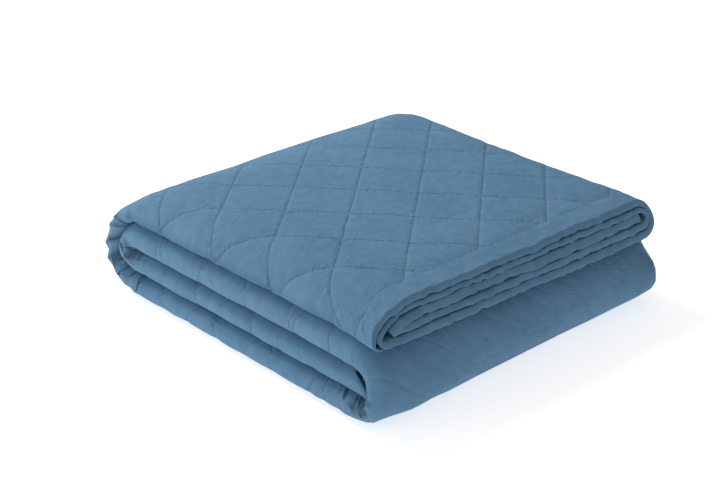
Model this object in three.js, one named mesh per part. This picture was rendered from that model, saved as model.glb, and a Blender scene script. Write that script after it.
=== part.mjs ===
// A light summer blanket, quilted in diamonds and folded for the shelf.
//
// It is one quilted sheet. The sheet is first folded lengthwise into a long strip: seen from the strip's
// end it goes round in five layers, with a short flap tucked under at the near side. The strip is then
// rolled over itself into four levels. From its free end on top it runs to the left, comes down round
// the wide turn to the bottom, runs to the right, comes up round the right turn to the second level, runs
// to the left again, and turns back inside the wide turn to end hidden between its neighbours.
//
// Millimetres. X runs along the strip and Y across it, with the near side at -Y, and Z is up. The bottom
// level lies flat on Z = 0.

import * as THREE from "three";

// The strip, and the sheet that it is folded from. Six layers share the height at the near side.
const STRIP_WIDTH = 383;
const SECTION_HEIGHT = 24;
const SHEET_THICKNESS = 4.2;
const CROWDED_THICKNESS = 3.4;
const FLAP_LENGTH = 55;
const FLAP_SLOPE = 30;
const INNER_EDGE_INSET = 20;

// The folds of the section, in the order in which the sheet goes round. Layers count from 0, the flap,
// to 5, the outside. inset is how far a fold lies inside the strip's side, and reach how far it bulges.
const NEAR = -1;
const FAR = 1;
const FLAP = 0;
const OUTSIDE = 5;
const FOLDS = [
  { side: NEAR, from: FLAP, to: OUTSIDE, inset: 0, reach: 12, steps: 6 },
  { side: FAR, from: OUTSIDE, to: 1, inset: 0, reach: 11, steps: 6 },
  { side: NEAR, from: 1, to: 4, inset: 4.2, reach: 7.5, steps: 4 },
  { side: FAR, from: 4, to: 2, inset: 5, reach: 6, steps: 4 },
  { side: NEAR, from: 2, to: 3, inset: 8.6, reach: 2.5, steps: 3 },
];

// The quilting: diamonds that stop at the stitches of a plain border. The sheet was folded a little out
// of square, so the rows of diamonds slant across the strip.
const DIAMOND_LENGTH = 85.6;
const DIAMOND_WIDTH = 83.7;
const DIAMOND_CORNER = { x: -23.1, y: -12.1 };
const DIAMOND_SLANT = 0.103;
const SEAM_DEPTH = 2.3;
const PUFF_ROUNDNESS = 0.35;
const BORDER_WIDTH = 27;
const BORDER_SEAM_DEPTH = 1.1;

// The thickness of each level at its four corners, from the bottom up, and how far its folds stand out
// of line at the near and far sides.
const LEVELS = [
  { name: "bottom", nearLeft: 24, nearRight: 25, farLeft: 22.5, farRight: 22, nearShift: 0, farShift: -7 },
  { name: "inner", nearLeft: 24, nearRight: 24.5, farLeft: 24, farRight: 23.5, nearShift: 1.5, farShift: -9 },
  { name: "second", nearLeft: 29.5, nearRight: 30, farLeft: 27, farRight: 26.5, nearShift: 0, farShift: -6 },
  { name: "top", nearLeft: 24.5, nearRight: 26, farLeft: 32, farRight: 33, nearShift: 0, farShift: 0 },
];
const LEVEL_GAP = 1;

// The turns of the strip. side is -1 at the left and 1 at the right, tip is the X that the outer surface
// comes to at the near side, and the two reaches are how far it bulges past the straight levels. A turn
// with a sag over 1 bulges most below the middle of its height.
const LEFT = -1;
const RIGHT = 1;
const TURNS = {
  wide: { side: LEFT, lower: "bottom", upper: "top", tip: -206, nearReach: 60, farReach: 60, sag: 1.3 },
  right: { side: RIGHT, lower: "bottom", upper: "second", tip: 207, nearReach: 42, farReach: 38, sag: 1.3 },
  inside: { side: LEFT, lower: "inner", upper: "second", tip: -177, nearReach: 30, farReach: 30, sag: 1 },
};
const TURN_THICKNESS = 23;

// The free end on top, where the inner layers reach further than the outside one and hang down a little
// over the right turn, and the hidden end.
const TOP_END = { x: 180, slant: 18, droop: 4 };
const DROOP_LENGTH = 40;
const INNER_END = 165;

// How much of its thickness the sheet keeps at a distance from a cut edge, which is rounded. A line of
// stitches presses the sheet down at the inside of the border.
const EDGE_PROFILE = [
  { distance: 0, kept: 0.4 },
  { distance: 3, kept: 0.85 },
  { distance: 9, kept: 1 },
  { distance: BORDER_WIDTH, kept: 1 - (2 * BORDER_SEAM_DEPTH) / SHEET_THICKNESS },
  { distance: BORDER_WIDTH + 8, kept: 1 },
];

// Columns lie on the quarters of the diamonds, and stations on their eighths in the turns and on every
// other eighth elsewhere.
const QUARTER_WIDTH = DIAMOND_WIDTH / 4;
const STATION_STEP = DIAMOND_LENGTH / 8;
const CLEARANCE = 7;
const BEYOND_DIAMONDS = 1000;

const { lerp: mix, clamp, smoothstep } = THREE.MathUtils;
const acrossStrip = (y) => clamp(y / STRIP_WIDTH + 0.5, 0, 1);
const alongStrip = (x) => clamp(x / STRIP_WIDTH + 0.5, 0, 1);

// The Z of the lower and upper face of each level at a place on the strip.
function levelHeights(x, y) {
  const heights = {};
  let z = 0;
  for (const level of LEVELS) {
    const near = mix(level.nearLeft, level.nearRight, alongStrip(x));
    const far = mix(level.farLeft, level.farRight, alongStrip(x));
    const thickness = mix(near, far, acrossStrip(y));
    heights[level.name] = { low: z, high: z + thickness };
    z += thickness + LEVEL_GAP;
  }
  return heights;
}

// How far a level moves across at a place across the strip.
function levelShift(name, y) {
  const level = LEVELS.find((one) => one.name === name);
  return mix(level.nearShift, level.farShift, acrossStrip(y));
}

// The X where a turn leaves its straight levels.
const turnCentre = (turn) => turn.tip - turn.side * turn.nearReach;

// A point in a straight level. Depth is 0 on the inside of the strip and 1 on its outside, which is the
// lower face of a level that lies upside down.
function levelPoint(name, x, y, depth) {
  const { low, high } = levelHeights(x, y)[name];
  const upsideDown = name === "bottom" || name === "inner";
  const z = upsideDown ? mix(high, low, depth) : mix(low, high, depth);
  return new THREE.Vector3(x, y + levelShift(name, y), z);
}

// A point in a turn, at a part of the way from its lower level to its upper one.
function turnPoint(turn, part, y, depth) {
  const centre = turnCentre(turn);
  const heights = levelHeights(centre, y);
  const lower = heights[turn.lower];
  const upper = heights[turn.upper];
  const rise = Math.pow((1 - Math.cos(Math.PI * part)) / 2, turn.sag);
  const reach = mix(turn.nearReach, turn.farReach, acrossStrip(y)) - TURN_THICKNESS * (1 - depth);
  // The outside of the strip faces down at the lower level and up at the upper one.
  const z = mix(mix(lower.high, upper.low, rise), mix(lower.low, upper.high, rise), depth);
  const shift = mix(levelShift(turn.lower, y), levelShift(turn.upper, y), part);
  return new THREE.Vector3(centre + turn.side * reach * Math.sin(Math.PI * part), y + shift, z);
}

// A point of the free end on top, at a distance from its slanted edge.
function topEndPoint(distance, y, depth) {
  const x = TOP_END.x + TOP_END.slant * (1 - depth) - distance;
  const point = levelPoint("top", x, y, depth);
  const hanging = smoothstep(x, TOP_END.x - DROOP_LENGTH, TOP_END.x + TOP_END.slant);
  point.z -= TOP_END.droop * (1 - depth) * hanging;
  return point;
}

// The straight levels and turns in order, with where each starts and ends on the outside of the strip.
// Lengths are counted from the X of a corner of the diamonds, and the top level runs towards -X.
function makeZones() {
  const borderEnd = EDGE_PROFILE.at(-1).distance;
  const wide = turnCentre(TURNS.wide);
  const right = turnCentre(TURNS.right);
  const inside = turnCentre(TURNS.inside);
  const level = (name, fromX, toX) => ({
    name,
    length: Math.abs(toX - fromX),
    place: (t, y, depth) => levelPoint(name, mix(fromX, toX, t), y, depth),
  });
  const turn = (shape, fromUpper) => {
    const heights = levelHeights(turnCentre(shape), 0);
    const halfHeight = (heights[shape.upper].high - heights[shape.lower].low) / 2;
    return {
      name: "turn",
      length: (Math.PI * (halfHeight + shape.nearReach)) / 2,
      place: (t, y, depth) => turnPoint(shape, fromUpper ? 1 - t : t, y, depth),
    };
  };
  const zones = [
    level("top", TOP_END.x - borderEnd, wide),
    turn(TURNS.wide, true),
    level("bottom", wide, right),
    turn(TURNS.right, false),
    level("second", right, inside),
    turn(TURNS.inside, true),
    level("inner", inside, INNER_END - borderEnd),
  ];
  let start = DIAMOND_CORNER.x - (TOP_END.x - borderEnd);
  for (const zone of zones) {
    zone.start = start;
    start += zone.length;
    zone.end = start;
  }
  return zones;
}

// Which stations a column has. Faces that show have them all, and the plain ones inside have few.
function keepsStation(column, zone, along, index) {
  const fromEnd = Math.min(along - zone.start, zone.end - along);
  if (zone.name === "turn") return column.finish !== "plain" || index % 2 === 0;
  if (index % 2 !== 0 || fromEnd < CLEARANCE) return false;
  if (fromEnd < CLEARANCE + 2 * STATION_STEP || index % 16 === 0) return true;
  if (column.finish === "rolled") return true;
  return column.finish === "quilted" && (zone.name === "top" || zone.name === "bottom");
}

// The stations of a column, from the free end to the hidden one. Each knows where it puts a point that
// is so far across and so deep, and how far along the quilting it is.
function makeStations(column, zones) {
  const topEdge = EDGE_PROFILE.map((row, i) => ({
    index: i - BEYOND_DIAMONDS,
    kept: row.kept,
    place: (y, depth) => topEndPoint(row.distance, y, depth),
  }));
  const innerEdge = EDGE_PROFILE.map((row, i) => ({
    index: BEYOND_DIAMONDS - i,
    kept: row.kept,
    place: (y, depth) => levelPoint("inner", INNER_END - row.distance, y, depth),
  })).reverse();

  const slant = DIAMOND_SLANT * (column.y - DIAMOND_CORNER.y);
  const stations = [];
  const first = Math.ceil((zones[0].start + slant) / STATION_STEP);
  for (let index = first; index * STATION_STEP - slant < zones.at(-1).end; index++) {
    const along = index * STATION_STEP - slant;
    const zone = zones.find((one) => along < one.end);
    if (!keepsStation(column, zone, along, index)) continue;
    const t = (along - zone.start) / zone.length;
    const place = (y, depth) => zone.place(t, y, depth);
    stations.push({ index, kept: 1, place, zone: zone.name, pattern: index * STATION_STEP });
  }
  return [...topEdge, ...stations, ...innerEdge];
}

// The height of a layer's middle and half its thickness at a place across the section. The layers lie
// closer together over the flap, and leave it over a short slope.
function layerPlace(layer, y) {
  const slope = smoothstep(y + STRIP_WIDTH / 2, FLAP_LENGTH, FLAP_LENGTH + FLAP_SLOPE);
  const crowded = CROWDED_THICKNESS / 2;
  const open = SHEET_THICKNESS / 2;
  const crowdedHeight = mix(crowded, SECTION_HEIGHT - crowded, layer / OUTSIDE);
  const openHeight = mix(open, SECTION_HEIGHT - open, (layer - 1) / (OUTSIDE - 1));
  return { h: mix(crowdedHeight, openHeight, slope), half: mix(crowded, open, slope) };
}

// The middle line of the sheet in the section: points with their place y across, height h, half the
// sheet's thickness, and the length v of cloth up to them. With all its points it follows the folds and
// the diamonds that show, and otherwise only the main bends.
function makeSectionLine(allPoints) {
  const points = [];
  const add = (y, h, half, finish) => {
    const last = points.at(-1);
    const v = last ? last.v + Math.hypot(y - last.y, h - last.h) : 0;
    points.push({ y, h, half, v, finish });
  };
  const foldStart = ({ side, inset, reach }, y = (side * STRIP_WIDTH) / 2) =>
    y - side * (inset + reach + layerPlace(OUTSIDE, y).half);

  const addLayer = (layer, fromY, toY) => {
    const low = Math.min(fromY, toY);
    const high = Math.max(fromY, toY);
    const inside = [];
    for (const bend of [0, 0.5, 1]) inside.push(FLAP_LENGTH + bend * FLAP_SLOPE - STRIP_WIDTH / 2);
    const shows = layer === OUTSIDE && allPoints;
    if (shows) {
      inside.length = 0;
      const first = Math.ceil((low - DIAMOND_CORNER.y) / QUARTER_WIDTH);
      for (let k = first; DIAMOND_CORNER.y + k * QUARTER_WIDTH < high; k++) {
        inside.push(DIAMOND_CORNER.y + k * QUARTER_WIDTH);
      }
    }
    const between = inside.filter((y) => y > low + CLEARANCE && y < high - CLEARANCE);
    const ys = [low, ...between, high];
    if (toY < fromY) ys.reverse();
    for (const y of ys) {
      const { h, half } = layerPlace(layer, y);
      add(y, h, half, shows ? "quilted" : "plain");
    }
  };

  const addFold = (fold) => {
    const y = foldStart(fold);
    const from = layerPlace(fold.from, y);
    const to = layerPlace(fold.to, y);
    const shows = (fold.from === OUTSIDE || fold.to === OUTSIDE) && allPoints;
    const steps = shows ? fold.steps : Math.min(fold.steps, 4);
    for (let i = 1; i < steps; i++) {
      const swing = (Math.PI * i) / steps;
      const h = mix(from.h, to.h, (1 - Math.cos(swing)) / 2);
      add(y + fold.side * fold.reach * Math.sin(swing), h, from.half, shows ? "rolled" : "plain");
    }
  };

  let y = FLAP_LENGTH - STRIP_WIDTH / 2;
  for (const fold of FOLDS) {
    addLayer(fold.from, y, foldStart(fold));
    addFold(fold);
    y = foldStart(fold);
  }
  addLayer(FOLDS.at(-1).to, y, STRIP_WIDTH / 2 - INNER_EDGE_INSET);
  return points;
}

// The columns of the mesh, once round the sheet: out along its outer face and back along its inner one.
function makeColumns() {
  const face = (line, sign) =>
    line.map((point, i) => {
      const before = line[Math.max(0, i - 1)];
      const after = line[Math.min(line.length - 1, i + 1)];
      const length = Math.hypot(after.y - before.y, after.h - before.h);
      return {
        ...point,
        finish: sign > 0 ? point.finish : "plain",
        normalY: (sign * (before.h - after.h)) / length,
        normalH: (sign * (after.y - before.y)) / length,
      };
    });
  return [...face(makeSectionLine(true), 1), ...face(makeSectionLine(false), -1).reverse()];
}

// How far the quilting presses the sheet down: 0 on top of a puff and 1 on a seam.
function quilting(along, v) {
  const p = (2 * along) / DIAMOND_LENGTH;
  const q = (2 * v) / DIAMOND_WIDTH;
  const fromSeam = (r) => 2 * Math.abs(r - Math.round(r));
  return 1 - Math.pow(fromSeam((p + q) / 2) * fromSeam((p - q) / 2), PUFF_ROUNDNESS);
}

// How far a column is pressed down at a station.
function pressed(column, station, cornerV) {
  if (column.finish === "plain" || !station.zone) return 0;
  const press = quilting(station.pattern, column.v - cornerV);
  // The seams fade towards the inside of the strip. What lies on the surface below is flat but for them.
  if (column.finish === "rolled") return press * Math.min(1, (1.5 * column.h) / SECTION_HEIGHT);
  return station.zone === "bottom" ? Math.max(0, 2 * press - 1) : press;
}

function makeBlanketGeometry() {
  const zones = makeZones();
  const columns = makeColumns();
  const corner = columns.find((c) => c.finish === "quilted" && c.y > DIAMOND_CORNER.y - 1);
  const cornerV = corner.v - (corner.y - DIAMOND_CORNER.y);

  const positions = [];
  const presses = [];
  const lines = columns.map((column) => {
    return makeStations(column, zones).map((station) => {
      const press = pressed(column, station, cornerV);
      const distance = column.half * station.kept - press * SEAM_DEPTH;
      const y = column.y + column.normalY * distance;
      const depth = (column.h + column.normalH * distance) / SECTION_HEIGHT;
      positions.push(...station.place(y, depth));
      presses.push(press);
      return { vertex: presses.length - 1, index: station.index };
    });
  });

  const triangles = [];
  // A square of the face is split along a seam, or else where its corners differ least in height.
  const cost = (a, b) => Math.abs(presses[a] - presses[b]) - 0.1 * (presses[a] + presses[b]);
  // Joins two neighbouring lines, which may have different stations, with a band of triangles.
  const addBand = (left, right) => {
    let i = 0;
    let j = 0;
    while (i < left.length - 1 || j < right.length - 1) {
      const a = left[i].vertex;
      const b = right[j].vertex;
      const nextLeft = left[i + 1]?.index ?? Infinity;
      const nextRight = right[j + 1]?.index ?? Infinity;
      if (nextLeft === nextRight) {
        const c = left[i + 1].vertex;
        const d = right[j + 1].vertex;
        if (cost(a, d) < cost(b, c)) triangles.push(a, d, c, a, b, d);
        else triangles.push(a, b, c, b, d, c);
        i += 1;
        j += 1;
      } else if (nextLeft < nextRight) {
        triangles.push(a, b, left[i + 1].vertex);
        i += 1;
      } else {
        triangles.push(a, b, right[j + 1].vertex);
        j += 1;
      }
    }
  };
  lines.forEach((line, k) => addBand(line, lines[(k + 1) % lines.length]));

  // The two cut ends have the section's own shape.
  const outline = columns.map(({ y, h, half, normalY, normalH }) => {
    const distance = half * EDGE_PROFILE[0].kept;
    return new THREE.Vector2(y + normalY * distance, h + normalH * distance);
  });
  const turned = THREE.ShapeUtils.isClockWise(outline);
  for (const [a, b, c] of THREE.ShapeUtils.triangulateShape(outline, [])) {
    const [p, q, r] = (turned ? [a, b, c] : [a, c, b]).map((k) => lines[k]);
    triangles.push(p[0].vertex, q[0].vertex, r[0].vertex);
    triangles.push(p.at(-1).vertex, r.at(-1).vertex, q.at(-1).vertex);
  }

  const geometry = new THREE.BufferGeometry();
  geometry.setAttribute("position", new THREE.Float32BufferAttribute(positions, 3));
  geometry.setIndex(triangles);
  geometry.computeVertexNormals();
  return geometry;
}

const blueCotton = new THREE.MeshStandardMaterial({ color: 0x5f87a6, roughness: 0.8, metalness: 0 });

const quiltedBlanket = new THREE.Mesh(makeBlanketGeometry(), blueCotton);
quiltedBlanket.name = "quilted_blanket";

const foldedBlanket = new THREE.Group();
foldedBlanket.add(quiltedBlanket);

export default foldedBlanket;
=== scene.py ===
"""A light summer blanket, quilted in squares that stand on their corners and folded for the shelf.

The blanket is one quilted sheet. It is folded in lengthwise to a strip: seen from the strip's end the
sheet goes round in five layers over a short flap. The strip is rolled over itself in four levels, with
its free end on top at the right.

Shapes are worked out in millimetres and become metres in the mesh. X runs along the strip, Y across it
with the near side at -Y, and Z is up. "Along" is the cloth's length from the free end's edge, measured on
the outside of the strip, and "across" is its length round the strip's section.
"""

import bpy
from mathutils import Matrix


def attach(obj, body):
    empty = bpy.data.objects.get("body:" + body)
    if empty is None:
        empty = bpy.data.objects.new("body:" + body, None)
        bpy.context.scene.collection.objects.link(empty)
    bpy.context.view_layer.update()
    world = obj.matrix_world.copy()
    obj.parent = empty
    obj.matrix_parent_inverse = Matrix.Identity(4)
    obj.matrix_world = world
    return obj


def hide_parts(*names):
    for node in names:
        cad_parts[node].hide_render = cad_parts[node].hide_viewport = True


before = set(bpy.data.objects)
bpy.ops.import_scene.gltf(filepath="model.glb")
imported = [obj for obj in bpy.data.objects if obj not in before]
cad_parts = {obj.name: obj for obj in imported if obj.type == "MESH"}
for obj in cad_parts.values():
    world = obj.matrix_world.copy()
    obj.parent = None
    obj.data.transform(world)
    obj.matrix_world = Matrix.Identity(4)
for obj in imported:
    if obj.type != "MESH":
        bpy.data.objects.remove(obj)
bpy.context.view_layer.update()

import logging
import math
from collections.abc import Iterator
from dataclasses import dataclass, field
from enum import Enum, IntEnum
from typing import ClassVar

import bpy
import numpy as np
from mathutils import Vector

log = logging.getLogger("blanket")

MM = 0.001

COLUMN_STIR = 374761393
ROW_STIR = 668265263
SEED_STIR = 1442695041
LAST_STIR = 1274126177
KEPT_BITS = 0xFFFFFF

TINY = 1e-12
NOISE_MIDDLE = 0.5
WHITE = (1.0, 1.0, 1.0, 1.0)
CORNERS = ((0, 0), (1, 0), (1, 1), (0, 1))

Socket = bpy.types.NodeSocket
Wire = float | tuple | Socket
Paint = tuple | Socket
Array = np.ndarray
Numbers = float | Array
Band = tuple[float, float]
Pair = tuple[float, float]
Place = tuple[float, float, float]
Edges = tuple[float, float, float, float]
Fan = list[tuple[int, int]]


def mix(low: Numbers, high: Numbers, part: Numbers) -> Numbers:
    """Returns the value that is so far of the way from low to high."""
    return low + (high - low) * part


def smooth(value: Numbers, low: float, high: float) -> Numbers:
    """Returns 0 below low and 1 above high, with a soft change between them."""
    part = np.clip((value - low) / (high - low), 0.0, 1.0)
    return part * part * (3.0 - 2.0 * part)


def between(value: Array, band: Band) -> Array:
    """Returns which values lie inside a band."""
    return (value > band[0]) & (value < band[1])


def reached(lengths: Array, begins: float) -> Array:
    """Returns which lengths lie past the start of a stretch. The first stretch takes all of them."""
    return (lengths >= begins) if begins else np.ones(len(lengths), bool)


def uneven(first: Array, second: Array, seed: int) -> Array:
    """Gives smooth, uneven values from -1 to 1 that repeat in each run.

    Args:
        first: One coordinate of each point, in units of the size of the unevenness.
        second: The other coordinate.
        seed: Which unevenness this is.

    Returns:
        A value for each point.
    """
    column = np.floor(first).astype(np.int64)
    row = np.floor(second).astype(np.int64)

    def corner(step_column: int, step_row: int) -> Array:
        """Gives the value at a corner of each point's square.

        Args:
            step_column: 1 for a corner at the high end of the first coordinate, and 0 at its low end.
            step_row: The same for the second coordinate.

        Returns:
            The values, from -1 to 1.
        """
        key = (column + step_column) * COLUMN_STIR + (row + step_row) * ROW_STIR + seed * SEED_STIR
        key = (key ^ (key >> 13)) * LAST_STIR
        key = (key ^ (key >> 16)) & KEPT_BITS
        return key / float(KEPT_BITS // 2) - 1.0

    part_column = smooth(first - column, 0.0, 1.0)
    part_row = smooth(second - row, 0.0, 1.0)
    lower = mix(corner(0, 0), corner(1, 0), part_column)
    upper = mix(corner(0, 1), corner(1, 1), part_column)
    return mix(lower, upper, part_row)


class Seed(IntEnum):
    """Which unevenness is meant, so that no two are alike."""

    PUCKER = 11
    WRINKLE = 21
    SMALL_WRINKLE = 22
    WRINKLE_PATCH = 23
    WRINKLE_TURN = 24
    WRINKLE_BOW = 25
    SWELL = 31
    SMALL_SWELL = 32
    RIPPLE_PATCH = 33
    RIPPLE = 34
    HEM_WAVE = 41
    HEM_PUCKER = 42
    HEM_LIFT = 43


class Side(IntEnum):
    """The long sides of the strip, as signs of Y."""

    NEAR = -1
    FAR = 1


class End(IntEnum):
    """The ends of the stack, as signs of X."""

    LEFT = -1
    RIGHT = 1


class LevelName(Enum):
    """The levels of the stack, from the floor up."""

    BOTTOM = "bottom"
    INNER = "inner"
    SECOND = "second"
    TOP = "top"


class Layer(IntEnum):
    """The layers of the section, from the inside of the strip to its outside."""

    FLAP = 0
    FIRST = 1
    SECOND = 2
    THIRD = 3
    FOURTH = 4
    OUTSIDE = 5


class Facing(Enum):
    """The two faces of the sheet."""

    OUTWARD = 1
    INWARD = -1


@dataclass(frozen=True)
class Fold:
    """A fold of the section, where the sheet turns from one layer to another.

    Attributes:
        start, end: The layers that the sheet comes from and goes to.
        inset: How far the fold lies inside the strip's side.
        reach: How far it bulges past the flat layers.
        hang: Over 1 where the fold bulges most below its middle.
        fullness: 1 where the fold is an arc, and less where it is fuller in its corners.
    """

    side: Side
    start: Layer
    end: Layer
    inset: float
    reach: float
    hang: float
    fullness: float


@dataclass(frozen=True)
class Span:
    """A stretch of the section's cloth: a fold, or a flat layer where fold is None.

    Attributes:
        begins: The cloth's length up to it.
        parts, lengths: Parts of the stretch, from 0 to 1, and the cloth's length up to each.
    """

    layer: Layer
    fold: Fold | None
    from_y: float
    to_y: float
    begins: float
    parts: Array
    lengths: Array

    @property
    def length(self) -> float:
        """The length of its cloth."""
        return float(self.lengths[-1])


@dataclass
class StripSection:
    """The section of the folded strip: how the sheet goes round in it.

    Attributes:
        folds: The folds, in the order in which the sheet goes round.
        height: The height that the layers share.
        shares: How much of the height each layer takes, from the flap to the outside.
        sheet: The sheet's thickness.
        flap: The length of the flap that is tucked under at the near side.
        flap_full: How much of the flap, from the fold, takes its full share.
        inner_inset: How far the cloth's inner edge lies inside the far side.
        flap_thinning: How much of its share the flap loses towards its edge.
        filled: How much of a layer's share the sheet fills.
        spans: The stretches of the cloth, in the order in which the sheet goes round.
    """

    folds: tuple[Fold, ...]
    width: float = 383.0
    height: float = 24.0
    shares: tuple[float, ...] = (0.75, 1.1, 0.95, 1.25, 0.7, 1.0)
    sheet: float = 4.6
    flap: float = 55.0
    flap_full: float = 18.0
    inner_inset: float = 20.0
    flap_thinning: float = 0.9
    filled: float = 0.97
    samples: int = 120
    spans: list[Span] = field(default_factory=list)

    def __post_init__(self) -> None:
        """Lays the flat layers and folds end to end, and measures them."""
        y = self.flap - self.width / 2
        begins = 0.0
        for fold in self.folds:
            start = self.fold_start(fold)
            begins = self.add_span(fold.start, None, y, start, begins)
            begins = self.add_span(fold.start, fold, start, start, begins)
            y = start
        self.add_span(self.folds[-1].end, None, y, self.width / 2 - self.inner_inset, begins)

    def add_span(self, layer: Layer, fold: Fold | None, from_y: float, to_y: float, begins: float) -> float:
        """Adds a stretch of cloth.

        Args:
            layer: The layer that it lies in or comes from.
            fold: The fold, or None for a flat layer.
            from_y: Where it starts across the strip.
            to_y: Where it ends.
            begins: The cloth's length up to it.

        Returns:
            The cloth's length up to its end.
        """
        parts = np.linspace(0.0, 1.0, self.samples)
        probe = Span(layer, fold, from_y, to_y, begins, parts, parts)
        y, height, _ = self.line(probe, parts, np.full(self.samples, 0.5))
        lengths = np.concatenate([[0.0], np.cumsum(np.hypot(np.diff(y), np.diff(height)))])
        self.spans.append(Span(layer, fold, from_y, to_y, begins, parts, lengths))
        return begins + float(lengths[-1])

    @property
    def cloth_width(self) -> float:
        """The width of the sheet that the section takes."""
        return self.spans[-1].begins + self.spans[-1].length

    @property
    def outside(self) -> Span:
        """The flat layer on the outside of the strip."""
        return next(span for span in self.spans if span.layer == Layer.OUTSIDE and not span.fold)

    @property
    def middle_line(self) -> float:
        """The cloth's length up to the middle of the strip on its outside."""
        return self.outside.begins - self.outside.from_y

    def fold_start(self, fold: Fold) -> float:
        """Returns the place across the strip where a fold leaves its flat layers."""
        return fold.side * (self.width / 2 - fold.inset - fold.reach - self.sheet / 2)

    def layer(self, layer: Layer, y: Array) -> tuple[Array, Array]:
        """Measures a layer at places across the strip.

        Args:
            layer: The layer.
            y: The places across the strip.

        Returns:
            The height of the layer's middle, and its thickness, which thins out to the flap's edge.
        """
        kept = 1.0 - self.flap_thinning * smooth(y + self.width / 2, self.flap_full, self.flap)
        shares = [share * (kept if which == Layer.FLAP else 1.0) for which, share in enumerate(self.shares)]
        scale = self.height / sum(shares)
        low = sum(shares[:layer]) * scale
        thick = shares[layer] * scale
        return low + thick / 2.0, self.filled * thick

    def line(self, span: Span, part: Array, outside_up: Array) -> tuple[Array, ...]:
        """Places points of a stretch of cloth in the section.

        Args:
            span: The stretch.
            part: How far along it each point is, from 0 to 1.
            outside_up: 1 where the strip's outside faces up, and 0 where it faces down.

        Returns:
            The place across the strip, the height and the sheet's thickness at each point.
        """
        if span.fold is None:
            y = mix(span.from_y, span.to_y, part)
            return y, *self.layer(span.layer, y)
        fold = span.fold
        swing = math.pi * part
        y = span.from_y + fold.side * fold.reach * np.maximum(np.sin(swing), 0.0) ** fold.fullness
        low_layer, high_layer = sorted((fold.start, fold.end))
        rise = (1.0 - np.cos(swing)) / 2.0
        if fold.start > fold.end:
            rise = 1.0 - rise
        upright = rise**fold.hang
        turned = 1.0 - (1.0 - rise) ** fold.hang
        start = np.full_like(part, span.from_y)
        low, low_thick = self.layer(low_layer, start)
        high, high_thick = self.layer(high_layer, start)
        height = mix(low, high, mix(turned, upright, outside_up))
        return y, height, mix(low_thick, high_thick, rise)

    def place(self, across: Array, outside_up: Array) -> tuple[Array, ...]:
        """Places points at lengths round the section.

        Args:
            across: The cloth's length round the section up to each point.
            outside_up: 1 where the strip's outside faces up, and 0 where it faces down.

        Returns:
            The place across the strip, the height and the sheet's thickness at each point.
        """
        y = np.zeros_like(across)
        height = np.zeros_like(across)
        thick = np.zeros_like(across)
        for span in self.spans:
            inside = reached(across, span.begins)
            length = across[inside] - span.begins
            part = np.interp(length, span.lengths, span.parts) if span.fold else length / span.length
            y[inside], height[inside], thick[inside] = self.line(span, part, outside_up[inside])
        return y, height, thick


SOFT_SECTION = StripSection(folds=(
    Fold(Side.NEAR, Layer.FLAP, Layer.OUTSIDE, 0.0, 50.0, 2.3, 1.0),
    Fold(Side.FAR, Layer.OUTSIDE, Layer.FIRST, 0.0, 20.0, 1.2, 1.0),
    Fold(Side.NEAR, Layer.FIRST, Layer.FOURTH, 8.0, 46.0, 2.4, 1.0),
    Fold(Side.FAR, Layer.FOURTH, Layer.SECOND, 6.0, 16.0, 1.2, 1.0),
    Fold(Side.NEAR, Layer.SECOND, Layer.THIRD, 22.0, 38.0, 3.0, 1.0),
))
FULL_SECTION = StripSection(folds=(
    Fold(Side.NEAR, Layer.FLAP, Layer.OUTSIDE, 0.0, 11.0, 1.1, 0.36),
    Fold(Side.FAR, Layer.OUTSIDE, Layer.FIRST, 0.0, 14.0, 1.0, 0.8),
    Fold(Side.NEAR, Layer.FIRST, Layer.FOURTH, 5.5, 12.0, 1.0, 0.8),
    Fold(Side.FAR, Layer.FOURTH, Layer.SECOND, 6.0, 14.0, 1.0, 0.9),
    Fold(Side.NEAR, Layer.SECOND, Layer.THIRD, 10.0, 10.0, 1.0, 0.8),
))


@dataclass(frozen=True)
class Level:
    """A level of the stack.

    Attributes:
        near_left, near_right, far_left, far_right: Its thickness at its corners.
        near_shift, far_shift: How far its near and its far side lie out of line.
        outside_up: Whether the strip's outside faces up in it.
    """

    name: LevelName
    near_left: float
    near_right: float
    far_left: float
    far_right: float
    near_shift: float
    far_shift: float
    outside_up: bool


@dataclass(frozen=True)
class Turn:
    """A turn of the strip from one level to another.

    Attributes:
        tip: The X that its outside comes to at the near side.
        near_reach, far_reach: How far it bulges past the flat levels at either side of the strip.
        sag: Over 1 where it bulges most below the middle of its height.
        near_thickness: How thick the strip is in its middle at the near side.
        fullness: 1 where the turn is an arc, and less where it is fuller towards the floor at its near side.
        thickness: How thick it is elsewhere in the turn.
        near_span: How far from the near side it comes to that thickness.
        thinning: How soon it thins out from either level, over 1 for sooner.
        full_height, full_width: The parts of its height and width between which that fuller shape ends.
    """

    side: End
    lower: LevelName
    upper: LevelName
    tip: float
    near_reach: float
    far_reach: float
    sag: float
    near_thickness: float
    fullness: float = 1.0
    thickness: float = 23.0
    near_span: float = 70.0
    thinning: float = 1.5
    full_height: Pair = (0.35, 0.5)
    full_width: Pair = (0.0, 0.6)

    @property
    def centre(self) -> float:
        """The X where the turn leaves its flat levels."""
        return self.tip - self.side * self.near_reach

    def thick(self, part: Array, from_near: Array) -> Array:
        """Returns how thick the strip is in the turn, which is thinner in its middle at the near side."""
        least = mix(self.near_thickness, self.thickness, smooth(from_near, 0.0, self.near_span))
        return mix(self.thickness, least, np.clip(np.sin(math.pi * part) * self.thinning, 0.0, 1.0))


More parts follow.
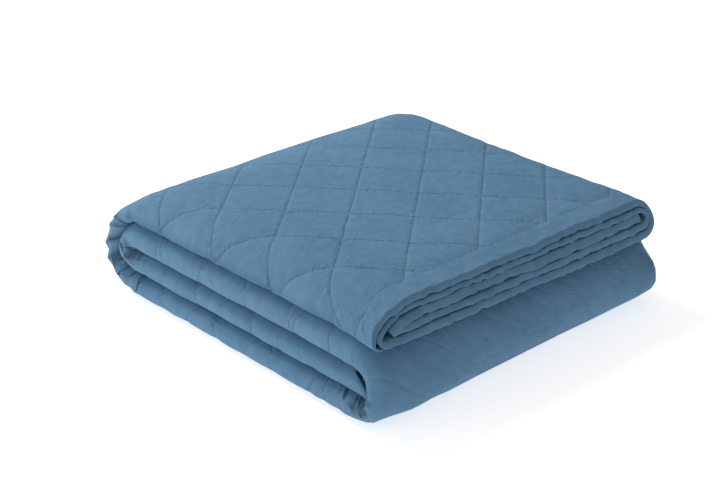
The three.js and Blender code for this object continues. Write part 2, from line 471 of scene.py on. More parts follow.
@dataclass(frozen=True)
class Zone:
    """A stretch of the strip: a flat level, or a turn between two.

    Attributes:
        level: The level, or the lower one of a turn.
        begins, length: The cloth's length up to it and in it.
        downwards: Whether the strip goes down in a turn.
        parts, lengths: Parts of a turn, from 0 to 1, and the cloth's length up to each.
    """

    level: LevelName
    turn: Turn | None
    from_x: float
    to_x: float
    begins: float
    length: float
    downwards: bool
    parts: Array | None = None
    lengths: Array | None = None


@dataclass
class RolledStrip:
    """The strip rolled over itself in four levels.

    Attributes:
        levels: The levels, from the bottom up.
        gap: What is left between them.
        end_x: The X of the outside cloth's edge at the free end.
        end_slant: How much further the inside of the strip reaches.
        end_droop: How far the free end hangs down.
        end_length: The length over which the free end takes its slant.
        hidden_end: The X of the other end.
        hidden_slant: How much shorter it is at its top.
        end_part: The part of a level from which its end slants or hangs.
        soft_part: The part of the wide turn in which the soft near side ends.
        zones: The levels and turns, in the order in which the strip runs.
    """

    width: float = 383.0
    levels: tuple[Level, ...] = (
        Level(LevelName.BOTTOM, 24.0, 25.0, 22.5, 22.0, 0.0, -7.0, False),
        Level(LevelName.INNER, 24.5, 25.0, 24.5, 24.0, 1.5, -9.0, False),
        Level(LevelName.SECOND, 30.0, 30.5, 27.5, 27.0, 0.0, -6.0, True),
        Level(LevelName.TOP, 25.0, 26.5, 32.5, 33.5, 0.0, 0.0, True),
    )
    gap: float = 0.5
    wide: Turn = Turn(End.LEFT, LevelName.BOTTOM, LevelName.TOP, -206.0, 60.0, 60.0, 1.3, 20.0)
    right: Turn = Turn(End.RIGHT, LevelName.BOTTOM, LevelName.SECOND, 200.5, 35.5, 38.0, 1.3, 18.0, 0.55)
    inside: Turn = Turn(End.LEFT, LevelName.INNER, LevelName.SECOND, -184.5, 37.0, 33.0, 1.0, 19.0)
    end_x: float = 180.0
    end_slant: float = 18.0
    end_droop: float = 4.0
    end_length: float = 120.0
    hidden_end: float = 188.0
    hidden_slant: float = 26.0
    end_part: float = 0.6
    soft_part: float = 0.4
    samples: int = 200
    zones: list[Zone] = field(default_factory=list)

    def __post_init__(self) -> None:
        """Lays the levels and turns end to end, from the free end to the hidden one."""
        begins = self.add_level(LevelName.TOP, self.end_x, self.wide.centre, 0.0)
        begins = self.add_turn(self.wide, True, begins)
        begins = self.add_level(LevelName.BOTTOM, self.wide.centre, self.right.centre, begins)
        begins = self.add_turn(self.right, False, begins)
        begins = self.add_level(LevelName.SECOND, self.right.centre, self.inside.centre, begins)
        begins = self.add_turn(self.inside, True, begins)
        self.add_level(LevelName.INNER, self.inside.centre, self.hidden_end, begins)

    @property
    def cloth_length(self) -> float:
        """The length of the sheet, measured on the outside of the strip."""
        return self.zones[-1].begins + self.zones[-1].length

    def level(self, name: LevelName) -> Level:
        """Returns the level of a name."""
        return next(level for level in self.levels if level.name == name)

    def add_level(self, level: LevelName, from_x: float, to_x: float, begins: float) -> float:
        """Adds a flat level to the strip's run.

        Args:
            level: The level.
            from_x: Where the strip comes into it.
            to_x: Where the strip leaves it.
            begins: The cloth's length up to it.

        Returns:
            The cloth's length up to its end.
        """
        length = abs(to_x - from_x)
        self.zones.append(Zone(level, None, from_x, to_x, begins, length, False))
        return begins + length

    def add_turn(self, turn: Turn, downwards: bool, begins: float) -> float:
        """Adds a turn to the strip's run, measured on its outside.

        Args:
            turn: The turn.
            downwards: Whether the strip goes down in it.
            begins: The cloth's length up to it.

        Returns:
            The cloth's length up to its end.
        """
        parts = np.linspace(0.0, 1.0, self.samples)
        points = self.turn_points(turn, parts, np.zeros(self.samples), np.ones(self.samples))
        steps = np.linalg.norm(np.diff(points, axis=0), axis=1)
        lengths = np.concatenate([[0.0], np.cumsum(steps)])
        if downwards:
            lengths = lengths[-1] - lengths[::-1]
            parts = parts[::-1]
        length = float(lengths[-1])
        self.zones.append(Zone(turn.lower, turn, 0.0, 0.0, begins, length, downwards, parts, lengths))
        return begins + length

    def heights(self, x: Array, y: Array) -> dict[LevelName, tuple[Array, Array]]:
        """Stacks the levels at places in the stack.

        Args:
            x: The places along it.
            y: The places across it.

        Returns:
            The height of each level's lower and upper face.
        """
        along = np.clip(x / self.width + 0.5, 0.0, 1.0)
        across = np.clip(y / self.width + 0.5, 0.0, 1.0)
        faces = {}
        base = np.zeros_like(along)
        for level in self.levels:
            near = mix(level.near_left, level.near_right, along)
            far = mix(level.far_left, level.far_right, along)
            top = base + mix(near, far, across)
            faces[level.name] = (base, top)
            base = top + self.gap
        return faces

    def shift(self, name: LevelName, y: Array) -> Array:
        """Returns how far a level moves across at places across the strip."""
        level = self.level(name)
        return mix(level.near_shift, level.far_shift, np.clip(y / self.width + 0.5, 0.0, 1.0))

    def turn_points(self, turn: Turn, part: Array, y: Array, depth: Array) -> Array:
        """Places points in a turn.

        Args:
            turn: The turn.
            part: How far each point is from the lower level to the upper one.
            y: Its place across the strip.
            depth: 0 on the inside of the strip and 1 on its outside.

        Returns:
            The points, in rows.
        """
        faces = self.heights(np.full_like(y, turn.centre), y)
        lower_low, lower_high = faces[turn.lower]
        upper_low, upper_high = faces[turn.upper]
        rise = ((1.0 - np.cos(math.pi * part)) / 2.0) ** turn.sag
        across = np.clip(y / self.width + 0.5, 0.0, 1.0)
        reach = mix(turn.near_reach, turn.far_reach, across)
        reach = reach - turn.thick(part, y + self.width / 2) * (1.0 - depth)
        plain = np.maximum(smooth(part, *turn.full_height), smooth(across, *turn.full_width))
        arc = mix(turn.fullness, 1.0, plain)
        swing = np.maximum(np.sin(math.pi * part), 0.0) ** arc
        x = turn.centre + turn.side * reach * swing
        z = mix(mix(lower_high, upper_low, rise), mix(lower_low, upper_high, rise), depth)
        shift = mix(self.shift(turn.lower, y), self.shift(turn.upper, y), part)
        return np.stack([x, y + shift, z], axis=1)

    def level_points(self, zone: Zone, part: Array, y: Array, depth: Array) -> Array:
        """Places points in a flat level, with its free end slanted and hanging a little.

        Args:
            zone: The stretch of the strip that lies in the level.
            part: How far each point is from its start to its end.
            y: Its place across the strip.
            depth: 0 on the inside of the strip and 1 on its outside.

        Returns:
            The points, in rows.
        """
        x = mix(zone.from_x, zone.to_x, part)
        hanging = np.zeros_like(x)
        if zone.begins == 0.0:
            near_end = 1.0 - np.clip(part * zone.length / self.end_length, 0.0, 1.0)
            x = x + self.end_slant * (1.0 - depth) * near_end
            hanging = self.end_droop * (1.0 - depth) * smooth(near_end, self.end_part, 1.0)
        if zone.level is LevelName.INNER:
            x = x - self.hidden_slant * (1.0 - depth) ** 2 * smooth(part, self.end_part, 1.0)
        low, high = self.heights(x, y)[zone.level]
        z = mix(low, high, depth) if self.level(zone.level).outside_up else mix(high, low, depth)
        return np.stack([x, y + self.shift(zone.level, y), z - hanging], axis=1)

    def outside_up(self, along: Array) -> Array:
        """Tells which way up the strip lies.

        Args:
            along: Lengths along the strip.

        Returns:
            1 where its outside faces up, 0 where it faces down, and values between in the turns.
        """
        up = np.zeros_like(along)
        for zone in self.zones:
            inside = reached(along, zone.begins)
            if zone.turn is None:
                up[inside] = float(self.level(zone.level).outside_up)
                continue
            part = np.clip((along[inside] - zone.begins) / zone.length, 0.0, 1.0)
            up[inside] = 1.0 - part if zone.downwards else part
        return up

    def softness(self, along: Array) -> Array:
        """Returns 1 on the top level, where the strip's near side slopes softly, and 0 on the others."""
        wide = self.zones[1]
        return 1.0 - smooth(along, wide.begins, wide.begins + self.soft_part * wide.length)

    def thickness(self, along: Array, y: Array) -> Array:
        """Measures how thick the strip is.

        Args:
            along: Lengths along the strip.
            y: The place of each across it.

        Returns:
            The thickness there.
        """
        thick = np.zeros_like(along)
        for zone in self.zones:
            inside = reached(along, zone.begins)
            part = np.clip((along[inside] - zone.begins) / zone.length, 0.0, 1.0)
            if zone.turn is None:
                low, high = self.heights(mix(zone.from_x, zone.to_x, part), y[inside])[zone.level]
                thick[inside] = high - low
            else:
                part = np.interp(part * zone.length, zone.lengths, zone.parts)
                thick[inside] = zone.turn.thick(part, y[inside] + self.width / 2)
        return thick

    def place(self, along: Array, y: Array, depth: Array) -> Array:
        """Places points of the rolled strip.

        Args:
            along: Each point's length along the strip.
            y: Its place across it.
            depth: 0 on the inside of the strip and 1 on its outside.

        Returns:
            The points, in rows.
        """
        points = np.zeros((len(along), 3))
        for zone in self.zones:
            inside = reached(along, zone.begins)
            length = along[inside] - zone.begins
            if zone.turn is None:
                points[inside] = self.level_points(zone, length / zone.length, y[inside], depth[inside])
                continue
            part = np.interp(np.clip(length, 0.0, zone.length), zone.lengths, zone.parts)
            points[inside] = self.turn_points(zone.turn, part, y[inside], depth[inside])
        return points


@dataclass(frozen=True)
class SideDrift:
    """How the quilting lies off its straight lines where the cloth goes over a soft near side.

    Attributes:
        begins: The place across the strip where it starts to drift.
        gathered: How much of the cloth's length is left where it is gathered.
        length: How far the cloth goes on drifting.
        shift: How far it drifts along the strip by then.
        last: How far the cloth is gathered, counted in that length.
    """

    begins: float
    gathered: float
    length: float
    shift: float
    last: float = 1.6

    def drift(self, y: Array) -> tuple[Array, Array]:
        """Measures the drift.

        Args:
            y: Places across the strip.

        Returns:
            How far the quilting moves along the cloth there, and how far across it.
        """
        beyond = np.maximum(self.begins - y, 0.0)
        part = np.clip(beyond / self.length, 0.0, 1.0)
        return -self.shift * part**2, np.minimum(beyond, self.length * self.last) * (1.0 - self.gathered)


@dataclass(frozen=True)
class SeamPuckers:
    """The little folds that the stitches pull up beside a seam.

    Attributes:
        height: How high they stand.
        length: The length of seam that one takes.
        lean: How far from the seam it has moved on by that much.
        reach: How far from the seam they reach.
        start: How far from the stitches they have their height.
        apart: How far apart the unevenness of two seams is taken.
    """

    height: float = 0.6
    length: float = 4.0
    lean: float = 5.0
    reach: float = 6.0
    start: float = 1.5
    apart: float = 3.0

    def relief(self, place: Array, from_line: Array, line: Array) -> Array:
        """Gives the height of the puckers.

        Args:
            place: Each point's place along the seam.
            from_line: Its distance from the seam.
            line: The number of the seam.

        Returns:
            The height of each point.
        """
        pucker = uneven(place / self.length + from_line / self.lean, line * self.apart, Seed.PUCKER)
        near = np.exp(-((from_line / self.reach) ** 2))
        return self.height * pucker * near * smooth(from_line, 0.0, self.start)


@dataclass(frozen=True)
class SquareWrinkles:
    """The soft wrinkles of the cloth, which run another way in each square of the quilting.

    Attributes:
        height: How high they stand.
        turn: How far they turn away from the first side of the square, in radians.
        turn_middle: How far the middle one of them turns the other way, as a part of that.
        bow, bow_length, bow_apart: How far they bow, over what length, and how unlike in two rows.
        size, apart: The length and width of a wrinkle, and how unlike two columns and two rows are.
        small, small_size, small_apart: The same for small ones, with their height as a part of the others'.
        patch, patch_edge: The size of patches with more wrinkles, and how soft their edges are.
        calm: How much of their height is left outside the patches.
        edge: How far from the seams they have their height.
    """

    height: float = 0.6
    turn: float = 0.8
    turn_middle: float = 0.25
    bow: float = 3.0
    bow_length: float = 17.0
    bow_apart: float = 5.0
    size: Pair = (23.0, 5.5)
    apart: Pair = (3.7, 5.3)
    small: float = 0.6
    small_size: Pair = (11.0, 9.0)
    small_apart: Pair = (1.7, 2.3)
    patch: float = 42.0
    patch_edge: Band = (-0.4, 0.6)
    calm: float = 0.35
    edge: float = 10.0

    def relief(self, first: Array, second: Array, column: Array, row: Array) -> Array:
        """Gives the height of the wrinkles.

        Args:
            first: How far each point lies from the middle of its square along the first side.
            second: How far it lies from there along the second side.
            column: The number of the square along the first side.
            row: Its number along the second side.

        Returns:
            The height of each point.
        """
        turn = self.turn * (uneven(column, row, Seed.WRINKLE_TURN) - self.turn_middle)
        long = first * np.cos(turn) + second * np.sin(turn)
        across = second * np.cos(turn) - first * np.sin(turn)
        bowed = across + self.bow * uneven(long / self.bow_length, row * self.bow_apart, Seed.WRINKLE_BOW)
        place = long / self.size[0] + self.apart[0] * column
        height = uneven(place, bowed / self.size[1] + self.apart[1] * row, Seed.WRINKLE)
        place = long / self.small_size[0] + self.small_apart[0] * row
        small = uneven(place, bowed / self.small_size[1] + self.small_apart[1] * column, Seed.SMALL_WRINKLE)
        return self.height * (height + self.small * small)

    def patches(self, x: Array, y: Array) -> Array:
        """Returns how much of their height the wrinkles have at places on the flat cloth."""
        patch = uneven(x / self.patch, y / self.patch, Seed.WRINKLE_PATCH)
        return mix(self.calm, 1.0, smooth(patch, *self.patch_edge))


@dataclass(frozen=True)
class Quilting:
    """The quilting: squares that stand nearly on their corners, with puckers along the stitches.

    Attributes:
        corner: A corner of the squares, as x and y on the outside of the top level.
        first, second: The sides of a square, from that corner.
        puff: How far the middle of a square stands above its stitches.
        sunk: How much of that the stitches lie below the sheet's even face.
        puff_edge: How far from the stitches a square gets its height.
        stitch_pull: How deep the stitches pull the cloth in.
        stitch_width: How wide that groove is.
        border: The width of the plain border at the sheet's edges, up to its line of stitches.
        border_edge: Where the relief of the squares begins and is full, counted from that line.
        border_pull: How deep that line pulls the cloth in.
        shoulder, rolls: How it drifts over the near side of the top level, and of the other levels.
        bias: How far it is pulled out of square in the right turn, for each millimetre round the turn.
        slack: How much of the cloth's length the right turn takes up.
        turn_place, turn_fade: How far it is moved there, and how far past the turn that fades out.
        crowding: How much closer the lines stand on the second level, as a part of their distance.
    """

    corner: Pair = (-194.2, -5.52)
    first: Pair = (47.10, 40.21)
    second: Pair = (38.47, -43.50)
    side: float = 60.0
    puff: float = 3.0
    sunk: float = 0.6
    puff_edge: float = 6.0
    stitch_pull: float = 0.6
    stitch_width: float = 1.6
    border: float = 25.0
    border_edge: Band = (-1.0, 5.0)
    border_pull: float = 0.4
    shoulder: SideDrift = SideDrift(-141.0, 0.73, 55.0, 24.0)
    rolls: SideDrift = SideDrift(-176.0, 0.5, 45.0, 0.0)
    bias: float = 0.67
    slack: float = 0.74
    turn_place: Pair = (-31.0, 2.0)
    turn_fade: float = 40.0
    crowding: float = 0.3
    puckers: SeamPuckers = SeamPuckers()
    wrinkles: SquareWrinkles = SquareWrinkles()

    @property
    def counts(self) -> Array:
        """The matrix that counts squares: a row for each of the two ways, to multiply with x and y."""
        return np.linalg.inv(np.array([self.first, self.second]).T)

    def squares(self, x: Array, y: Array) -> tuple[Array, Array]:
        """Counts places on the flat cloth in squares from the corner.

        Args:
            x, y: Each point's place along and across the flat cloth.

        Returns:
            How many squares it lies from the corner the first way, and how many the second way.
        """
        counts = self.counts
        from_x = x - self.corner[0]
        from_y = y - self.corner[1]
        return counts[0, 0] * from_x + counts[0, 1] * from_y, counts[1, 0] * from_x + counts[1, 1] * from_y

    def relief(self, x: Array, y: Array) -> Array:
        """Gives the height of the quilted face over its middle.

        Args:
            x, y: Each point's place along and across the flat cloth.

        Returns:
            The height of each point.
        """
        i, j = self.squares(x, y)
        from_i = np.abs(i - np.round(i)) * self.side
        from_j = np.abs(j - np.round(j)) * self.side
        rise = (1.0 - np.exp(-from_i / self.puff_edge)) * (1.0 - np.exp(-from_j / self.puff_edge))
        nearest = np.minimum(from_i, from_j)
        pulled = self.stitch_pull * np.exp(-((nearest / self.stitch_width) ** 2))
        height = self.puff * (rise - self.sunk) - pulled
        for from_line, line, place in ((from_i, np.round(i), j), (from_j, np.round(j), i)):
            height = height + self.puckers.relief(place * self.side, from_line, line)
        return height

    def border_stitches(self, from_edge: Array) -> Array:
        """Returns how deep the border's line of stitches pulls the cloth in at distances from the edge."""
        return self.border_pull * np.exp(-(((from_edge - self.border) / self.stitch_width) ** 2))

    def wrinkled(self, x: Array, y: Array) -> Array:
        """Gives the height of the soft wrinkles in the squares.

        Args:
            x, y: Each point's place along and across the flat cloth.

        Returns:
            The height of each point.
        """
        i, j = self.squares(x, y)
        column = np.floor(i)
        row = np.floor(j)
        first = (i - column - 0.5) * self.side
        second = (j - row - 0.5) * self.side
        from_line = self.side * (0.5 - np.maximum(np.abs(i - column - 0.5), np.abs(j - row - 0.5)))
        height = self.wrinkles.relief(first, second, column, row) * self.wrinkles.patches(x, y)
        return height * smooth(from_line, 0.0, self.wrinkles.edge)


@dataclass(frozen=True)
class Crease:
    """A trough that is pressed into the cloth by hand, or a soft ridge where its depth is below 0.

    Attributes:
        start, end: Its ends, each as a place across the cloth, from its middle, and along it.
        width: Half its width.
        bow: How far its middle lies to one side of the straight line.
        end_fade: How soon it ends, over 1 for sooner.
        steepness, rounding: How steep the sides of a trough are, and how round its bottom is.
        painted_shade_depth: The depth from which the painted shade in its bottom is strongest.
        painted_shade_narrow: How narrow that painted shade is, over 1 for narrower.
    """

    start: Pair
    end: Pair
    width: float
    depth: float
    bow: float = 0.0
    end_fade: ClassVar[float] = 0.4
    steepness: ClassVar[float] = 1.5
    rounding: ClassVar[float] = 0.25
    painted_shade_depth: ClassVar[float] = 4.5
    painted_shade_narrow: ClassVar[float] = 1.3

    def from_middle(self, y: Array, along: Array) -> tuple[Array, Array]:
        """Measures how far places lie from the crease, in units of its half width.

        Args:
            y, along: Each point's place across the cloth, from its middle, and along it.

        Returns:
            How far it lies aside of the crease, and how far beyond its ends.
        """
        run_y = self.end[0] - self.start[0]
        run_along = self.end[1] - self.start[1]
        length = math.hypot(run_y, run_along)
        from_y = y - self.start[0]
        from_along = along - self.start[1]
        part = (from_y * run_y + from_along * run_along) / length**2
        aside = (from_y * run_along - from_along * run_y) / length
        aside = (aside - self.bow * np.sin(math.pi * np.clip(part, 0.0, 1.0))) / self.width
        return aside, np.maximum(np.abs(part - 0.5) - 0.5, 0.0) * length / self.width

    def height(self, y: Array, along: Array) -> Array:
        """Gives how far the crease lifts the cloth, which is below 0 for a trough.

        Args:
            y, along: Each point's place across the cloth, from its middle, and along it.

        Returns:
            The height of each point.
        """
        aside, beyond = self.from_middle(y, along)
        if self.depth < 0.0:
            return -self.depth * np.exp(-(aside**2) - self.end_fade * beyond**2)
        sides = np.hypot(aside, self.rounding)
        return -self.depth * np.exp(-self.steepness * sides - self.end_fade * beyond**2)

    def painted_shade(self, y: Array, along: Array) -> Array:
        """Gives the painted shade at the bottom of the crease, standing in for the little light that reaches
        it.

        Args:
            y, along: Each point's place across the cloth, from its middle, and along it.

        Returns:
            The strength of the painted shade at each point, from 0 to 1.
        """
        aside, beyond = self.from_middle(y, along)
        # Painted shade: deeper troughs get a darker bottom, in place of the shade that the mesh can't cast.
        dark = min(max(self.depth / self.painted_shade_depth, 0.0), 1.0)
        return dark * np.exp(-((self.painted_shade_narrow * aside) ** 2) - beyond**2)


def creases(*rows: tuple[float, ...]) -> tuple[Crease, ...]:
    """Returns creases from rows of start, end, half width, depth and bow."""
    return tuple(Crease(row[0:2], row[2:4], *row[4:]) for row in rows)


@dataclass(frozen=True)
class HandCreases:
    """The creases that folding and rolling leave, and the finer wrinkles between them.

    Attributes:
        left_turn: Gathers on the near side of the wide turn.
        pocket: The pinched pocket of the inner turn.
        corner: Crumples at the near right corner of the bottom level.
        right_rim: Puckers along the near rim of the right turn.
        shoulder: Short creases on the top level's near side.
        far_side: Gathers at the far ends of the turns.
        swell, swell_size: How high the cloth swells over large patches, and their size.
        small_swell, small_swell_size: The same for small ones, with the height as a part of the large.
        ripple, ripple_size: How high the fine wrinkles of the near side stand, and their size.
        ripple_lean: How far they lean over along the cloth, for each millimetre across it.
        ripple_start, ripple_end: Where they begin and where they end, towards the near side.
        ripple_patch, patch_edge: The size of their patches, and how soft the patches' edges are.
        near_place, far_place, place_reach: Where creases of the near and far side may change the cloth.
        reach: How far from its start a crease may change the cloth along it.
        at_edge, edge_reach: How much of its height a crease has at the free end, and where it gains it.
    """

    left_turn: tuple[Crease, ...] = creases(
        (-191, 371, -209, 362, 3.0, 6.0, -1.0),
        (-192, 383, -206, 376, 5.0, -1.0),
        (-192, 394, -210, 366, 2.8, 5.5),
        (-192, 404, -210, 390, 6.0, -1.0),
        (-191, 417.5, -211, 401, 3.0, 6.5, 1.5),
        (-192, 429, -210, 422, 6.0, -1.0),
        (-193, 438, -211, 441, 2.6, 5.5),
        (-193, 444.5, -211, 452, 2.6, 5.5),
        (-192, 453.5, -210, 461, 4.5, -1.0),
        (-192, 461.5, -211, 471, 3.0, 6.5, -1.0),
        (-193, 473, -213, 486, 3.0, 5.5, 1.0),
        (-192, 487.5, -212, 493, 5.0, -1.0),
        (-194, 499, -214, 503, 3.0, 5.5, 1.5),
    )
    pocket: tuple[Crease, ...] = creases(
        (-196, 1299, -212, 1350, 2.8, 6.0, 3.0),
        (-194, 1338, -212, 1357, 2.8, 6.0),
        (-199, 1322, -210, 1345, 7.0, 6.0),
        (-194, 1277, -207, 1271, 2.4, 3.0, 1.0),
        (-192, 1287, -203, 1283, 2.4, 2.4, 1.0),
    )
    corner: tuple[Crease, ...] = creases(
        (-214, 806, -197, 812, 3.0, 6.5, 1.0),
        (-213, 819, -197, 824, 2.6, 6.0, -1.0),
        (-215, 830.5, -196.5, 837, 2.8, 8.0, 1.0),
        (-210, 844, -200, 840.5, 2.4, -1.6),
        (-209, 858, -201, 846.5, 2.4, 5.0),
        (-203, 842, -195.5, 845, 2.4, 5.0, 1.0),
        (-205, 868, -199.5, 856, 2.4, 4.0),
    )
    right_rim: tuple[Crease, ...] = creases(
        (-216, 877, -204, 879, 2.4, 3.0),
        (-216, 889, -202, 893, 2.4, 3.6),
        (-216, 905, -202, 903, 2.6, 4.0),
        (-216, 917, -203, 921, 2.4, 3.0),
        (-215, 934, -198, 931, 3.0, 6.4),
        (-216, 946, -201, 951, 2.6, 3.4, 1.0),
        (-216, 960, -203, 965, 2.6, 2.8),
    )
    shoulder: tuple[Crease, ...] = creases(
        (-181, 359, -194, 342, 2.6, 3.0, -1.5),
        (-179, 334, -191, 318, 2.4, 2.6, -1.0),
        (-188, 300, -203, 292, 2.6, 1.0),
        (-190, 262, -205, 254, 3.0, 1.0),
        (-188, 203, -203, 196, 3.0, 1.2),
        (-190, 121, -205, 112, 3.0, 1.0),
        (-186, 74, -204, 64, 2.8, 1.2),
    )
    far_side: tuple[Crease, ...] = creases(
        (176, 372, 206, 378, 3.0, 2.4, 2.0),
        (172, 402, 208, 398, 2.6, 3.0),
        (176, 431, 206, 436, 3.0, 2.2, -1.5),
        (176, 462, 208, 458, 2.6, 2.8),
        (178, 488, 206, 494, 3.0, 2.0),
        (178, 842, 206, 846, 3.0, 2.4),
        (176, 866, 208, 862, 2.4, 3.0, 1.5),
        (178, 891, 206, 896, 2.8, 2.2),
        (176, 918, 208, 914, 2.6, 2.6, -1.0),
    )
    swell: float = 0.5
    swell_size: Pair = (37.0, 43.0)
    small_swell: float = 0.4
    small_swell_size: Pair = (15.0, 19.0)
    ripple: float = 0.4
    ripple_size: Pair = (5.5, 17.0)
    ripple_lean: float = 0.7
    ripple_start: Band = (165.0, 190.0)
    ripple_end: Band = (215.0, 230.0)
    ripple_patch: Pair = (31.0, 40.0)
    patch_edge: float = 0.5
    near_place: float = -200.0
    far_place: float = 190.0
    place_reach: float = 40.0
    reach: float = 60.0
    at_edge: float = 0.5
    edge_reach: Band = (5.0, 40.0)

    def height(self, y: Array, along: Array) -> Array:
        """Gives how far creases and wrinkles lift the cloth.

        Args:
            y, along: Each point's place across the cloth, from its middle, and along it.

        Returns:
            The height of each point.
        """
        large = uneven(y / self.swell_size[0], along / self.swell_size[1], Seed.SWELL)
        small = uneven(y / self.small_swell_size[0], along / self.small_swell_size[1], Seed.SMALL_SWELL)
        total = self.swell * large + self.small_swell * self.swell * small
        beyond = smooth(-y, *self.ripple_start) * (1.0 - smooth(-y, *self.ripple_end))
        patch = uneven(along / self.ripple_patch[0], y / self.ripple_patch[1], Seed.RIPPLE_PATCH)
        patch = smooth(patch, -self.patch_edge, self.patch_edge)
        leaning = (along + self.ripple_lean * y) / self.ripple_size[0]
        total = total + self.ripple * beyond * patch * uneven(leaning, y / self.ripple_size[1], Seed.RIPPLE)
        for crease, close in self.placed(y, along):
            total[close] += crease.height(y[close], along[close])
        return total * mix(self.at_edge, 1.0, smooth(along, *self.edge_reach))

    def painted_shade(self, y: Array, along: Array) -> Array:
        """Gives the painted shade in the bottoms of the creases, standing in for the little light that
        reaches there.

        Args:
            y, along: Each point's place across the cloth, from its middle, and along it.

        Returns:
            The strength of the painted shade at each point, from 0 to 1.
        """
        total = np.zeros_like(y)
        for crease, close in self.placed(y, along):
            total[close] = np.maximum(total[close], crease.painted_shade(y[close], along[close]))
        return total

    def placed(self, y: Array, along: Array) -> Iterator[tuple[Crease, Array]]:
        """Goes through the creases.

        Args:
            y, along: Each point's place across the cloth, from its middle, and along it.

        Returns:
            Each crease, with a mask of the points that it may change.
        """
        near = np.abs(y - self.near_place) < self.place_reach
        far = np.abs(y - self.far_place) < self.place_reach
        near_creases = self.left_turn + self.pocket + self.corner + self.right_rim + self.shoulder
        for group, place in ((near_creases, near), (self.far_side, far)):
            for crease in group:
                yield crease, place & (np.abs(along - crease.start[1]) < self.reach)


@dataclass(frozen=True)
class Pull:
    """A place where the folded cloth as a whole stands a little out of the even shape.

    Attributes:
        place: Its middle.
        reach: How far it reaches along each axis.
        move: How far the cloth is moved there.
    """

    place: Place
    reach: Place
    move: Place

    def apply(self, points: Array) -> Array:
        """Returns all points, with those near the place moved."""
        weight = np.exp(-np.sum(((points - self.place) / self.reach) ** 2, axis=1))
        return points + weight[:, None] * self.move


@dataclass(frozen=True)
class Hem:
    """The uneven edge of the free end, whose layers don't end in one line.

    Attributes:
        wave, wave_length: How far the edge strays along the strip over long stretches, and their length.
        pucker, pucker_length: How far it strays over short ones, and their length.
        reach: How far from the edge the cloth is moved.
        flap_back, flap_width: How far the flap's corner lies back, and the width over which it does.
        lift: How far puckers lift the edge.
        lift_size, lift_reach: The size of those puckers across and along, and how far they reach.
    """

    wave: float = 1.5
    wave_length: float = 33.0
    pucker: float = 0.7
    pucker_length: float = 8.0
    reach: float = 26.0
    flap_back: float = 14.0
    flap_width: float = 60.0
    lift: float = 0.6
    lift_size: Pair = (6.0, 8.0)
    lift_reach: float = 9.0

    def move(self, across: Array, along: Array) -> tuple[Array, Array]:
        """Moves the cloth near the edge.

        Args:
            across, along: Each point's lengths round the section and along the cloth.

        Returns:
            How far it moves along X, and how far it is lifted.
        """
        near_edge = 1.0 - smooth(along, 0.0, self.reach)
        level = np.zeros_like(along)
        wave = self.wave * uneven(across / self.wave_length, level, Seed.HEM_WAVE)
        pucker = self.pucker * uneven(across / self.pucker_length, level, Seed.HEM_PUCKER)
        stray = wave + pucker - self.flap_back * (1.0 - smooth(across, 0.0, self.flap_width))
        lifted = self.lift * uneven(across / self.lift_size[0], along / self.lift_size[1], Seed.HEM_LIFT)
        return stray * near_edge, lifted * (1.0 - smooth(along, 0.0, self.lift_reach))


